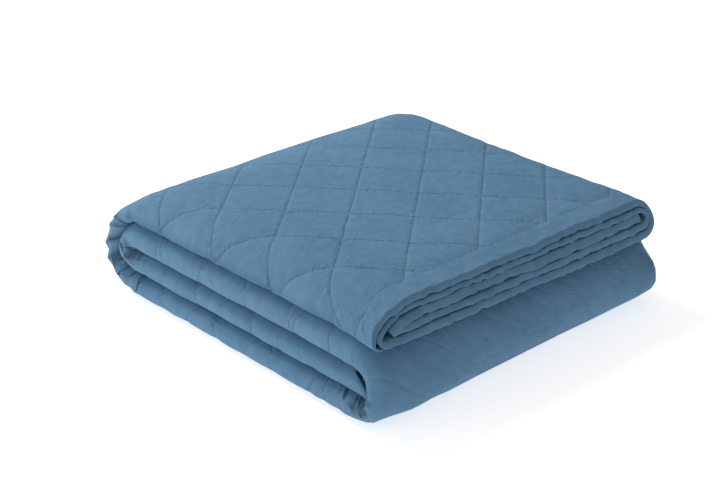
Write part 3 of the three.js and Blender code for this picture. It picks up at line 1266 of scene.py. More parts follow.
@dataclass
class ClothGrid:
    """A grid over the flat cloth whose squares are small where the cloth shows and large where it doesn't.

    Attributes:
        columns, rows: The number of the finest squares across and along the cloth.
        largest: The side of the largest squares, counted in finest ones.
    """

    columns: int
    rows: int
    largest: int = 64

    def sizes(self, wanted: Array) -> Array:
        """Works out the size of the square that each finest square lies in.

        Args:
            wanted: The largest size that each finest square may be part of.

        Returns:
            The sizes, such that neighbours differ by a factor of two at most.
        """
        size = np.full((self.columns, self.rows), self.largest, np.int32)
        side = self.largest
        while side > 1:
            blocks = (self.columns // side, side, self.rows // side, side)
            least = wanted.reshape(blocks).min(axis=(1, 3))
            around = self.least_around(size, side)
            split = (np.minimum(least, around * 2) < side).repeat(side, 0).repeat(side, 1)
            size[split & (size == side)] = side // 2
            side //= 2
        changed = True
        while changed:
            changed = False
            side = self.largest
            while side > 2:
                around = self.least_around(size, side)
                split = (around * 2 < side).repeat(side, 0).repeat(side, 1) & (size == side)
                changed = changed or bool(split.any())
                size[split] = side // 2
                side //= 2
        return size

    def least_around(self, size: Array, side: int) -> Array:
        """Finds the smallest squares that touch each block.

        Args:
            size: The size of the square that each finest square lies in.
            side: The side of the blocks.

        Returns:
            The smallest size for each block.
        """
        padded = np.pad(size, 1, mode="edge")
        sides = [padded[:-2, 1:-1], padded[2:, 1:-1], padded[1:-1, :-2], padded[1:-1, 2:]]
        least = np.minimum.reduce(sides)
        blocks = (self.columns // side, side, self.rows // side, side)
        return least.reshape(blocks).min(axis=(1, 3))

    def squares(self, size: Array) -> Array:
        """Returns the squares as rows of column, row and side, from the size at each finest square."""
        column, row = np.indices(size.shape)
        return np.stack([column, row, size], axis=2)[(column % size == 0) & (row % size == 0)]

    def points(self, squares: Array) -> Array:
        """Marks the corners of the squares.

        Args:
            squares: The squares.

        Returns:
            Which points of the finest grid are corners.
        """
        used = np.zeros((self.columns + 1, self.rows + 1), bool)
        column, row, side = squares.T
        for step_column, step_row in CORNERS:
            used[column + step_column * side, row + step_row * side] = True
        return used

    def faces(self, squares: Array, used: Array) -> tuple[list[Fan], Array]:
        """Covers the squares with faces, without gaps where large and small ones meet.

        Args:
            squares: The squares.
            used: The points of the finest grid in use. A middle point is added where it is needed.

        Returns:
            The triangles of the fans, as lists of points, and the plain squares.
        """
        column, row, side = squares.T
        sums = np.zeros(len(squares), np.int64)
        counts_column = np.cumsum(used, axis=0)
        counts_row = np.cumsum(used, axis=1)
        for line in (row, row + side):
            sums += counts_column[column + side, line] - counts_column[column, line]
        for line in (column, column + side):
            sums += counts_row[line, row + side] - counts_row[line, row]
        plain = sums == len(CORNERS)
        fans = []
        for first, second, length in squares[~plain].tolist():
            rim = [(first + k, second) for k in range(length)]
            rim += [(first + length, second + k) for k in range(length)]
            rim += [(first + length - k, second + length) for k in range(length)]
            rim += [(first, second + length - k) for k in range(length)]
            middle = (first + length // 2, second + length // 2)
            used[middle] = True
            rim = [point for point in rim if used[point]]
            for point, following in zip(rim, rim[1:] + rim[:1]):
                fans.append([middle, point, following])
        return fans, squares[plain]


@dataclass(frozen=True)
class MeshPlan:
    """How large the squares of the mesh may be at places on the cloth, counted in finest squares.

    Attributes:
        hidden: The size where the cloth is hidden.
        fold: The largest size in a fold of the section.
        free_end: Lengths from the free end, with the largest size up to each.
        outside: How far past each level and turn its size goes on the strip's outside, and that size.
        near: The largest size on the near side.
        shoulder, rolls, wide_rim: Where that is across the cloth: on the top level, on all that follows,
            and in the wide turn.
        far_side: How far past the outside the far side goes, and its largest size.
        closest: Where the finest squares are, across and along the cloth.
    """

    hidden: int = 64
    fold: int = 8
    free_end: tuple[tuple[float, int], ...] = ((30.0, 4), (4.0, 2), (0.1, 1))
    outside: tuple[tuple[float, int], ...] = ((60.0, 2), (20.0, 4), (0.0, 8), (30.0, 4))
    near: int = 2
    shoulder: Band = (-206.0, -120.0)
    rolls: Band = (-216.0, -174.0)
    wide_rim: Band = (-190.0, -168.0)
    far_side: tuple[float, int] = (48.0, 4)
    closest: tuple[tuple[Band, Band], ...] = (
        ((-213.0, -184.0), (360.0, 504.0)),
        ((-214.0, -184.0), (802.0, 850.0)),
        ((-216.0, -194.0), (850.0, 966.0)),
        ((-214.0, -192.0), (1268.0, 1356.0)),
    )

    def largest(self, section: StripSection, strip: RolledStrip, across: Array, along: Array,
                facing: Facing) -> Array:
        """Gives the largest size that the squares may have.

        Args:
            section, strip: How the sheet goes round in the strip, and how the strip is rolled.
            across, along: Each place's lengths round the section and along the cloth.
            facing: Which face of the sheet it is.

        Returns:
            The size for each place.
        """
        size = np.full(across.shape, self.hidden)

        def at_most(where: Array, largest: int) -> None:
            """Makes the squares no larger than this at some places."""
            size[where] = np.minimum(size[where], largest)

        for span in section.spans:
            if span.fold is not None:
                at_most((across >= span.begins) & (across <= span.begins + span.length), self.fold)
        for reach, largest in self.free_end:
            at_most(along < reach, largest)
        if facing is Facing.INWARD:
            return size
        ends = [zone.begins + zone.length for zone in strip.zones]
        outside = section.outside
        on_outside = (across >= outside.begins) & (across <= outside.begins + outside.length)
        for end, (past, largest) in zip(ends, self.outside):
            at_most(on_outside & (along < end + past), largest)
        y = across - section.middle_line
        past_top = self.outside[0][0]
        at_most(between(y, self.shoulder) & (along < ends[0] + past_top), self.near)
        at_most(between(y, self.rolls) & (along > ends[0]), self.near)
        at_most(between(y, self.wide_rim) & between(along, (ends[0], ends[1])), self.near)
        reach, largest = self.far_side
        at_most(between(y, (outside.to_y, outside.to_y + reach)), largest)
        for band_across, band_along in self.closest:
            at_most(between(y, band_across) & between(along, band_along), 1)
        return size


@dataclass(frozen=True)
class CalmPlaces:
    """Where the cloth is stretched and its quilting flatter. A band goes from full relief to calm.

    Attributes:
        far_side: The band across the cloth towards the far side.
        near_side: The band from the middle line towards the near side, below the top level.
        near_share: How calm the near side is.
        left_along, left_across: The bands along and across the cloth towards the wide turn.
        right_half: Half of the calm stretch of the right turn, as a part of the turn.
        right_edge: The width of its band.
        relief: How much of their relief calm squares keep.
    """

    far_side: Band = (145.0, 180.0)
    near_side: Band = (165.0, 185.0)
    near_share: float = 0.7
    left_along: Band = (310.0, 350.0)
    left_across: Band = (-150.0, -110.0)
    right_half: float = 0.6
    right_edge: float = 20.0
    relief: float = 0.4

    def kept(self, strip: RolledStrip, y: Array, along: Array) -> Array:
        """Gives how much of their relief the squares keep.

        Args:
            strip: How the strip is rolled.
            y, along: Each point's place across the cloth, from its middle, and along it.

        Returns:
            The part of its relief that each point keeps.
        """
        calm = smooth(y, *self.far_side)
        below = smooth(-y, *self.near_side) * (1.0 - strip.softness(along)) * self.near_share
        left = smooth(along, *self.left_along) * smooth(y, *self.left_across)
        right = strip.zones[3]
        inside = right.length * self.right_half - np.abs(along - right.begins - right.length / 2.0)
        for part in (below, left, smooth(inside, 0.0, self.right_edge)):
            calm = np.maximum(calm, part)
        return mix(1.0, self.relief, calm)


@dataclass
class FoldedBlanket:
    """The quilted sheet as it lies folded.

    Attributes:
        section: How the sheet goes round in the strip on the top level.
        full: How it goes round in the lower levels, whose near side is fuller.
        finest: The side of the finest squares of the mesh.
        edge_round: How far from an edge the sheet has its full thickness.
        edge_bulge: How full its rounded edge is, where 2 is a half circle.
        edge_spread: How far from an edge the mesh is closer.
        step: How far apart the points are that give the cloth's slope.
        relief_share: How much of the relief each face takes.
        thinnest: The least distance from the sheet's middle to a face.
        pulls: Places where the folded cloth stands out of its even shape.
    """

    section: StripSection = field(default_factory=lambda: SOFT_SECTION)
    full: StripSection = field(default_factory=lambda: FULL_SECTION)
    strip: RolledStrip = field(default_factory=RolledStrip)
    quilting: Quilting = Quilting()
    creases: HandCreases = HandCreases()
    hem: Hem = Hem()
    calm: CalmPlaces = CalmPlaces()
    plan: MeshPlan = MeshPlan()
    finest: float = 1.25
    edge_round: float = 1.1
    edge_bulge: int = 4
    edge_spread: float = 6.0
    step: float = 0.4
    relief_share: float = 0.7
    thinnest: float = 0.5
    pulls: tuple[Pull, ...] = (
        Pull((-190.0, 30.0, 100.0), (40.0, 70.0, 30.0), (-1.0, 0.0, 3.0)),
        Pull((-90.0, 192.0, 100.0), (70.0, 30.0, 30.0), (0.0, 1.0, 1.8)),
        Pull((-140.0, 192.0, 104.0), (35.0, 25.0, 25.0), (0.0, 0.0, 1.4)),
        Pull((205.0, 190.0, 30.0), (30.0, 50.0, 16.0), (4.0, 2.0, 0.0)),
        Pull((198.0, 190.0, 2.0), (25.0, 45.0, 12.0), (-4.0, 0.0, 0.0)),
        Pull((195.0, 190.0, 66.0), (25.0, 40.0, 16.0), (-4.0, -1.0, 0.0)),
        Pull((192.0, 190.0, 95.0), (25.0, 25.0, 16.0), (-2.4, -1.0, 0.0)),
        Pull((185.0, -180.0, 0.0), (18.0, 22.0, 14.0), (-8.0, -1.0, 0.0)),
        Pull((-190.0, -185.0, 96.0), (25.0, 40.0, 20.0), (0.0, 0.0, -1.6)),
    )

    def cloth_places(self, count: int, total: float) -> Array:
        """Spaces the grid's points along one side of the cloth, closer together at its edges.

        Args:
            count: The number of squares along that side.
            total: The length of that side.

        Returns:
            The place of each point.
        """
        steps = np.linspace(0.0, total + self.edge_spread, count + 1)

        def from_edge(step: Array) -> Array:
            """Returns the real distance from the edge for a step from it."""
            close = step**2 / (2.0 * self.edge_spread)
            return np.where(step < self.edge_spread, close, step - self.edge_spread / 2)

        last = total + self.edge_spread
        return np.where(steps < last / 2, from_edge(steps), total - from_edge(last - steps))

    def middle(self, across: Array, along: Array) -> Array:
        """Returns points of the middle of the sheet."""
        y, height, _ = self.in_section(across, along)
        return self.strip.place(along, y, height / self.section.height)

    def in_section(self, across: Array, along: Array) -> tuple[Array, ...]:
        """Places points in the strip's section, which changes along the cloth.

        Args:
            across, along: Each point's lengths round the section and along the cloth.

        Returns:
            The place across the strip, the height and the sheet's thickness at each point.
        """
        up = self.strip.outside_up(along)
        soft = self.strip.softness(along)
        softly = self.section.place(across, up)
        fully = self.full.place(across - self.section.middle_line + self.full.middle_line, up)
        return tuple(mix(full, part, soft) for full, part in zip(fully, softly))

    def normals(self, across: Array, along: Array) -> Array:
        """Gives the way that the cloth's outward face looks.

        Args:
            across, along: Each point's lengths round the section and along the cloth.

        Returns:
            The directions, in rows.
        """
        before = self.middle(np.maximum(across - self.step, 0.0), along)
        after = self.middle(np.minimum(across + self.step, self.section.cloth_width), along)
        back = self.middle(across, np.maximum(along - self.step, 0.0))
        on = self.middle(across, np.minimum(along + self.step, self.strip.cloth_length))
        normal = np.cross(on - back, after - before)
        return normal / (np.linalg.norm(normal, axis=1)[:, None] + TINY)

    def relief(self, across: Array, along: Array, from_edge: Array) -> Array:
        """Gives how high the quilting and its wrinkles stand.

        Args:
            across, along: Each point's lengths round the section and along the cloth.
            from_edge: Its distance from the nearest edge.

        Returns:
            The height of each point over the sheet's even face.
        """
        x_flat, y_flat = self.flat_places(across, along)
        begins, full = (self.quilting.border + edge for edge in self.quilting.border_edge)
        relief = self.quilting.relief(x_flat, y_flat) * smooth(from_edge, begins, full)
        relief *= self.calm.kept(self.strip, across - self.section.middle_line, along)
        relief += self.quilting.wrinkled(x_flat, y_flat)
        return relief - self.quilting.border_stitches(from_edge)

    def surface(self, across: Array, along: Array, sign: Array) -> Array:
        """Places points of the sheet's two faces.

        Args:
            across, along: Each point's lengths round the section and along the cloth.
            sign: 1 on the outward face, -1 on the inward one and 0 on the edge.

        Returns:
            The points, in rows.
        """
        width = self.section.cloth_width
        length = self.strip.cloth_length
        middle = self.middle(across, along)
        from_edge = np.minimum.reduce([across, width - across, along, length - along])
        inward = 1.0 - np.clip(from_edge / self.edge_round, 0.0, 1.0)
        rounded = np.clip(1.0 - inward**self.edge_bulge, 0.0, 1.0) ** (1.0 / self.edge_bulge)
        y, _, thick = self.in_section(across, along)
        strip_thick = self.strip.thickness(along, y)
        half = thick / 2.0 * strip_thick / self.section.height
        relief = self.relief_share * self.relief(across, along, from_edge)
        distance = rounded * np.maximum(half + relief, self.thinnest)
        moved, lifted = self.hem.move(across, along)
        bent = self.creases.height(across - self.section.middle_line, along) + lifted
        points = middle + self.normals(across, along) * (sign * distance + bent)[:, None]
        end = np.clip(1.0 - along / self.strip.end_length, 0.0, 1.0)
        lean = self.strip.end_slant * end / strip_thick
        points[:, 0] += moved - lean * (points[:, 2] - middle[:, 2])
        for pull in self.pulls:
            points = pull.apply(points)
        points[:, 2] = np.maximum(points[:, 2], 0.0)
        return points

    def flat_places(self, across: Array, along: Array) -> tuple[Array, Array]:
        """Finds the places of points on the flat cloth, as it would lie on from the top level's outside.

        Args:
            across, along: Each point's lengths round the section and along the cloth.

        Returns:
            The x and the y of each point.
        """
        x = self.strip.end_x - along
        y = across - self.section.middle_line
        soft = self.strip.softness(along)
        shoulder_x, shoulder_y = self.quilting.shoulder.drift(y)
        roll_x, roll_y = self.quilting.rolls.drift(y)
        right, second = self.strip.zones[3:5]
        half = right.length / 2.0
        round_turn = along - right.begins - half
        there = 1.0 - smooth(np.abs(round_turn), half, half + self.quilting.turn_fade)
        turn_x, turn_y = self.quilting.turn_place
        turn_x = turn_x + (1.0 - self.quilting.slack) * round_turn
        turn_y = turn_y + self.quilting.bias * round_turn
        x = x - self.quilting.crowding * np.clip(along - second.begins, 0.0, second.length)
        x = x + mix(roll_x, shoulder_x, soft) + turn_x * there
        return x, y + mix(roll_y, shoulder_y, soft) + turn_y * there

    @property
    def edges(self) -> Edges:
        """The lowest and highest x, and the lowest and highest y, of the flat cloth."""
        length = self.strip.cloth_length
        middle = self.section.middle_line
        return self.strip.end_x - length, self.strip.end_x, -middle, self.section.cloth_width - middle

    def build(self) -> bpy.types.Object:
        """Builds the mesh of the sheet.

        Returns:
            The blanket, as one closed mesh.
        """
        width = self.section.cloth_width
        length = self.strip.cloth_length
        block = ClothGrid.largest
        columns = block * math.ceil((width + self.edge_spread) / self.finest / block)
        rows = block * math.ceil((length + self.edge_spread) / self.finest / block)
        grid = ClothGrid(columns, rows)
        across = self.cloth_places(grid.columns, width)
        along = self.cloth_places(grid.rows, length)
        centres = [(places[1:] + places[:-1]) / 2 for places in (across, along)]
        centre_across, centre_along = np.meshgrid(*centres, indexing="ij")
        squares = {}
        used = {}
        for facing in Facing:
            wanted = self.plan.largest(self.section, self.strip, centre_across, centre_along, facing)
            squares[facing] = grid.squares(grid.sizes(wanted))
            used[facing] = grid.points(squares[facing])
        rim = np.zeros((grid.columns + 1, grid.rows + 1), bool)
        rim[[0, -1], :] = True
        rim[:, [0, -1]] = True
        shared = rim & (used[Facing.OUTWARD] | used[Facing.INWARD])
        numbers = {}
        places = []
        signs = []
        faces = []
        count = 0
        for facing in Facing:
            used[facing] |= shared
            fans, plain = grid.faces(squares[facing], used[facing])
            number = np.full(rim.shape, -1, np.int64)
            if facing is Facing.INWARD:
                number[shared] = numbers[Facing.OUTWARD][shared]
            fresh = used[facing] & (number < 0)
            number[fresh] = count + np.arange(fresh.sum())
            count += int(fresh.sum())
            numbers[facing] = number
            column, row = np.nonzero(fresh)
            places.append(np.stack([across[column], along[row]], axis=1))
            signs.append(np.where(rim[column, row], 0.0, float(facing.value)))
            column, row, side = plain.T
            corners = [number[column + right * side, row + up * side] for right, up in CORNERS]
            quads = np.stack(corners, axis=1)
            triangles = np.array([[number[point] for point in fan] for fan in fans], np.int64).reshape(-1, 3)
            if facing is Facing.OUTWARD:
                quads = quads[:, ::-1]
                triangles = triangles[:, ::-1]
            faces += quads.tolist() + triangles.tolist()
        flat = np.concatenate(places)
        points = self.surface(flat[:, 0], flat[:, 1], np.concatenate(signs)) * MM
        mesh = bpy.data.meshes.new("quilted_sheet")
        mesh.from_pydata(points.tolist(), [], faces)
        mesh.polygons.foreach_set("use_smooth", np.ones(len(mesh.polygons), bool))
        self.keep_flat_places(mesh, flat)
        mesh.update()
        sheet = bpy.data.objects.new("quilted_sheet", mesh)
        bpy.context.scene.collection.objects.link(sheet)
        return sheet

    def keep_flat_places(self, mesh: bpy.types.Mesh, flat: Array) -> None:
        """Keeps where each point lies on the flat cloth, and the painted shade in its creases' bottoms, for
        the finish.

        Args:
            mesh: The mesh.
            flat: The place of each point across and along the cloth.
        """
        x_flat, y_flat = self.flat_places(flat[:, 0], flat[:, 1])
        corners = np.zeros(len(mesh.loops), np.int64)
        mesh.loops.foreach_get("vertex_index", corners)
        layer = mesh.uv_layers.new(name="flat_cloth")
        values = np.stack([x_flat[corners], y_flat[corners]], axis=1) * MM
        layer.data.foreach_set("uv", values.ravel())
        # Painted shade for the bottoms of the creases, kept as a point attribute that darkens the cloth's
        # colour.
        painted_shade = self.creases.painted_shade(flat[:, 0] - self.section.middle_line, flat[:, 1])
        mesh.attributes.new("painted_crease_shade", "FLOAT", "POINT").data.foreach_set("value", painted_shade)


class NodeBench:
    """A node tree that is being wired, with short ways to add its nodes."""

    def __init__(self, tree: bpy.types.NodeTree) -> None:
        """Keeps the tree."""
        self.tree = tree

    def put(self, target: Socket, value: Wire) -> None:
        """Feeds a value or a wire into a socket.

        Args:
            target: The socket.
            value: The value or wire.
        """
        if isinstance(value, Socket):
            self.tree.links.new(value, target)
        else:
            target.default_value = value

    def node(self, kind: str, *values: Wire) -> bpy.types.Node:
        """Adds a node and feeds its first sockets.

        Args:
            kind: The kind of node.
            values: What goes into its sockets, in their order.

        Returns:
            The node.
        """
        node = self.tree.nodes.new(kind)
        for socket, value in zip(node.inputs, values):
            self.put(socket, value)
        return node

    def math(self, operation: str, first: Wire, second: Wire = 0.0, third: Wire = 0.0) -> Socket:
        """Adds a sum on numbers.

        Args:
            operation: What is done with them.
            first, second, third: The numbers or their wires. Not every sum has three.

        Returns:
            The wire that carries the result.
        """
        node = self.node("ShaderNodeMath", first, second, third)
        node.operation = operation
        return node.outputs[0]

    def plus(self, first: Wire, second: Wire) -> Socket:
        """Returns the sum of two numbers."""
        return self.math("ADD", first, second)

    def minus(self, first: Wire, second: Wire) -> Socket:
        """Returns the first number less the second."""
        return self.math("SUBTRACT", first, second)

    def times(self, first: Wire, second: Wire) -> Socket:
        """Returns the product of two numbers."""
        return self.math("MULTIPLY", first, second)

    def times_plus(self, first: Wire, second: Wire, third: Wire) -> Socket:
        """Returns the product of two numbers, plus a third."""
        return self.math("MULTIPLY_ADD", first, second, third)

    def least(self, first: Wire, second: Wire) -> Socket:
        """Returns the smaller of two numbers."""
        return self.math("MINIMUM", first, second)

    def most(self, first: Wire, second: Wire) -> Socket:
        """Returns the larger of two numbers."""
        return self.math("MAXIMUM", first, second)

    def size_of(self, value: Wire) -> Socket:
        """Returns a number without its sign."""
        return self.math("ABSOLUTE", value)

    def vector(self, x: Wire, y: Wire, z: Wire = 0.0) -> Socket:
        """Returns three numbers joined to a place."""
        return self.node("ShaderNodeCombineXYZ", x, y, z).outputs[0]

    def parts(self, place: Socket) -> tuple[Socket, Socket]:
        """Returns the x and the y of a place."""
        split = self.node("ShaderNodeSeparateXYZ", place)
        return split.outputs[0], split.outputs[1]

    def noise(self, place: Socket, scale: float, detail: float = 2.0) -> Socket:
        """Adds a soft unevenness.

        Args:
            place: Where it is taken.
            scale: How many of its swells go in a unit of length.
            detail: How much finer unevenness lies in them.

        Returns:
            The wire that carries it, from 0 to 1.
        """
        node = self.node("ShaderNodeTexNoise", place)
        self.put(node.inputs["Scale"], scale)
        self.put(node.inputs["Detail"], detail)
        return node.outputs["Fac"]

    def fade(self, value: Wire, low: Wire, high: Wire, at_low: float = 0.0, at_high: float = 1.0) -> Socket:
        """Adds a soft change from one number to another.

        Args:
            value: What it follows.
            low, high: The values where the change begins and ends.
            at_low, at_high: The numbers there.

        Returns:
            The wire that carries the result.
        """
        node = self.node("ShaderNodeMapRange", value, low, high, at_low, at_high)
        node.interpolation_type = "SMOOTHSTEP"
        return node.outputs[0]

    def blend(self, part: Wire, low: Paint, high: Paint) -> Socket:
        """Adds a colour between two others.

        Args:
            part: How far it is from the first to the second.
            low, high: The two colours or their wires.

        Returns:
            The wire that carries the colour.
        """
        node = self.node("ShaderNodeMix", part)
        node.data_type = "RGBA"
        first, second, mixed = node.inputs[6], node.inputs[7], node.outputs[2]
        for socket, paint in ((first, low), (second, high)):
            self.put(socket, (*paint, 1.0) if isinstance(paint, tuple) else paint)
        return mixed


def group_of(name: str, gives: tuple[str, ...]) -> bpy.types.NodeTree:
    """Makes an empty shader node group that takes a place on the flat cloth.

    Args:
        name: Its name.
        gives: The names of its outputs, which are all numbers.

    Returns:
        The group, with a group input and a group output.
    """
    group = bpy.data.node_groups.new(name, "ShaderNodeTree")
    group.interface.new_socket("Cloth", in_out="INPUT", socket_type="NodeSocketVector")
    for label in gives:
        group.interface.new_socket(label, in_out="OUTPUT", socket_type="NodeSocketFloat")
    group.nodes.new("NodeGroupInput")
    group.nodes.new("NodeGroupOutput")
    return group


@dataclass(frozen=True)
class SeamFinish:
    """The sewn lines of the quilting, as a shader node group.

    Attributes:
        wander, wander_length: How far a line strays from straight, and over what length.
        wander_apart: How far apart its two ways of straying are taken.
        stitch: The length of a stitch.
        hole: How far from the middle of a stitch its hole ends, as parts of a stitch.
        groove: How far from its middle the groove of the stitches ends.
        groove_shade_line: How wide the line of painted shade in the middle of the groove is.
        pucker_start, pucker_reach: Where puckers begin to fade and have risen, and where they end.
        pucker_length, pucker_stretch: How long one is along the line, and how drawn out across it.
        lines_apart: How far apart the puckers of two lines are taken.
        border_share: How much of this the line along the border shows.
        border_edge: How far beside that line the quilting fades out.
        border_line: Its number for the puckers.
        stretched, stretched_edge: Where the right turn stretches the cloth, and how far that fades out.
        stretched_share: How much of the lines is left there.
    """

    wander: float = 0.9
    wander_length: float = 16.0
    wander_apart: float = 311.0
    stitch: float = 4.4
    hole: Band = (0.12, 0.34)
    groove: float = 4.4
    groove_shade_line: float = 0.7
    pucker_reach: float = 10.0
    pucker_start: Band = (0.2, 1.5)
    pucker_length: float = 4.0
    pucker_stretch: float = 0.28
    lines_apart: float = 37.0
    border_share: float = 0.35
    border_edge: float = 0.5
    border_line: float = 3.0
    stretched: Band = (-770.0, -640.0)
    stretched_edge: float = 10.0
    stretched_share: float = 0.4

    def build(self, quilting: Quilting, edges: Edges) -> bpy.types.NodeTree:
        """Builds the group.

        Args:
            quilting: The quilting whose lines are sewn.
            edges: The lowest and highest x, and the lowest and highest y, of the flat cloth.

        Returns:
            The group. It takes a place on the flat cloth in millimetres and gives the depth of the groove,
            the line of painted shade in it, the holes of the stitches and the puckers beside it.
        """
        names = ("Groove", "GrooveShade", "Stitches", "Puckers")
        group = group_of("sewn_lines", names)
        bench = NodeBench(group)
        cloth = group.nodes["Group Input"].outputs["Cloth"]
        x, y = bench.parts(cloth)
        counted = self.counted(bench, cloth, x, y, quilting)
        lines = []
        offsets = []
        for count in counted:
            line = bench.math("ROUND", count)
            lines.append(line)
            offsets.append(bench.times(bench.minus(count, line), quilting.side))
        x_low, x_high, y_low, y_high = edges
        from_ends = bench.least(bench.minus(x, x_low), bench.minus(x_high, x))
        from_sides = bench.least(bench.minus(y, y_low), bench.minus(y_high, y))
        from_border = bench.minus(bench.least(from_ends, from_sides), quilting.border)
        low, high = self.stretched
        before = bench.fade(x, low - self.stretched_edge, low, 1.0, 0.0)
        loose = bench.most(before, bench.fade(x, high, high + self.stretched_edge))
        share = bench.times_plus(loose, 1.0 - self.stretched_share, self.stretched_share)
        quilted = bench.times(bench.fade(from_border, -self.border_edge, self.border_edge), share)
        aside = bench.size_of(from_border)
        length = bench.plus(x, y)
        groove = bench.times(self.groove_depth(bench, aside), self.border_share)
        # A thin line of painted shade along the middle of the border's groove.
        groove_shade_line = bench.fade(aside, 0.0, self.groove_shade_line, self.border_share, 0.0)
        stitches = bench.times(groove_shade_line, self.stitch_holes(bench, length))
        puckers = bench.times(self.puckers(bench, length, from_border, self.border_line), self.border_share)
        for offset, along, line in ((offsets[0], counted[1], lines[0]), (offsets[1], counted[0], lines[1])):
            length = bench.times(along, quilting.side)
            across = bench.size_of(offset)
            groove = bench.most(groove, bench.times(self.groove_depth(bench, across), quilted))
            # A thin line of painted shade along the middle of each sewn line's groove.
            here = bench.times(bench.fade(across, 0.0, self.groove_shade_line, 1.0, 0.0), quilted)
            groove_shade_line = bench.most(groove_shade_line, here)
            stitches = bench.most(stitches, bench.times(here, self.stitch_holes(bench, length)))
            folds = bench.times(self.puckers(bench, length, offset, line), quilted)
            puckers = bench.plus(puckers, folds)
        for name, wire in zip(names, (groove, groove_shade_line, stitches, puckers)):
            bench.put(group.nodes["Group Output"].inputs[name], wire)
        return group

    def counted(self, bench: NodeBench, cloth: Socket, x: Socket, y: Socket,
                quilting: Quilting) -> list[Socket]:
        """Counts a place on the cloth in squares, with the lines a little off straight.

        Args:
            bench: Where the nodes go.
            cloth, x, y: The place on the flat cloth, its x and its y.
            quilting: The quilting whose lines are sewn.

        Returns:
            The wires that carry how many squares it lies from the corner, each way.
        """
        scale = 1.0 / self.wander_length
        stray_x = bench.minus(bench.noise(cloth, scale, 1.0), NOISE_MIDDLE)
        shifted = bench.vector(x, bench.plus(y, self.wander_apart))
        stray_y = bench.minus(bench.noise(shifted, scale, 1.0), NOISE_MIDDLE)
        x_sewn = bench.times_plus(stray_x, 2.0 * self.wander, x)
        y_sewn = bench.times_plus(stray_y, 2.0 * self.wander, y)
        counted = []
        for for_x, for_y in quilting.counts.tolist():
            start = -(for_x * quilting.corner[0] + for_y * quilting.corner[1])
            counted.append(bench.times_plus(y_sewn, for_y, bench.times_plus(x_sewn, for_x, start)))
        return counted

    def groove_depth(self, bench: NodeBench, across: Socket) -> Socket:
        """Returns 1 in the middle of a groove, with the steepest sides there, and 0 beside it."""
        part = bench.most(bench.times_plus(across, -1.0 / self.groove, 1.0), 0.0)
        return bench.times(part, part)

    def stitch_holes(self, bench: NodeBench, length: Socket) -> Socket:
        """Returns 1 at the holes of the stitches along a line and 0 between them."""
        part = bench.math("FRACT", bench.math("DIVIDE", length, self.stitch))
        return bench.fade(bench.size_of(bench.minus(part, 0.5)), *self.hole, 1.0, 0.0)

    def puckers(self, bench: NodeBench, length: Wire, offset: Wire, line: Wire) -> Socket:
        """Gives the little folds that stand across a sewn line and die away beside it.

        Args:
            bench: Where the nodes go.
            length: The place along the line, in millimetres.
            offset: The distance from the line, with a sign.
            line: A number for the line.

        Returns:
            The wire that carries their height, from -1 to 1.
        """
        stretched = bench.times(offset, self.pucker_stretch)
        place = bench.vector(length, stretched, bench.times(line, self.lines_apart))
        height = bench.times_plus(bench.noise(place, 1.0 / self.pucker_length, 0.0), 2.0, -1.0)
        apart = bench.size_of(offset)
        begins, full = self.pucker_start
        away = bench.fade(apart, begins, self.pucker_reach, 1.0, 0.0)
        return bench.times(height, bench.times(away, bench.fade(apart, 0.0, full)))


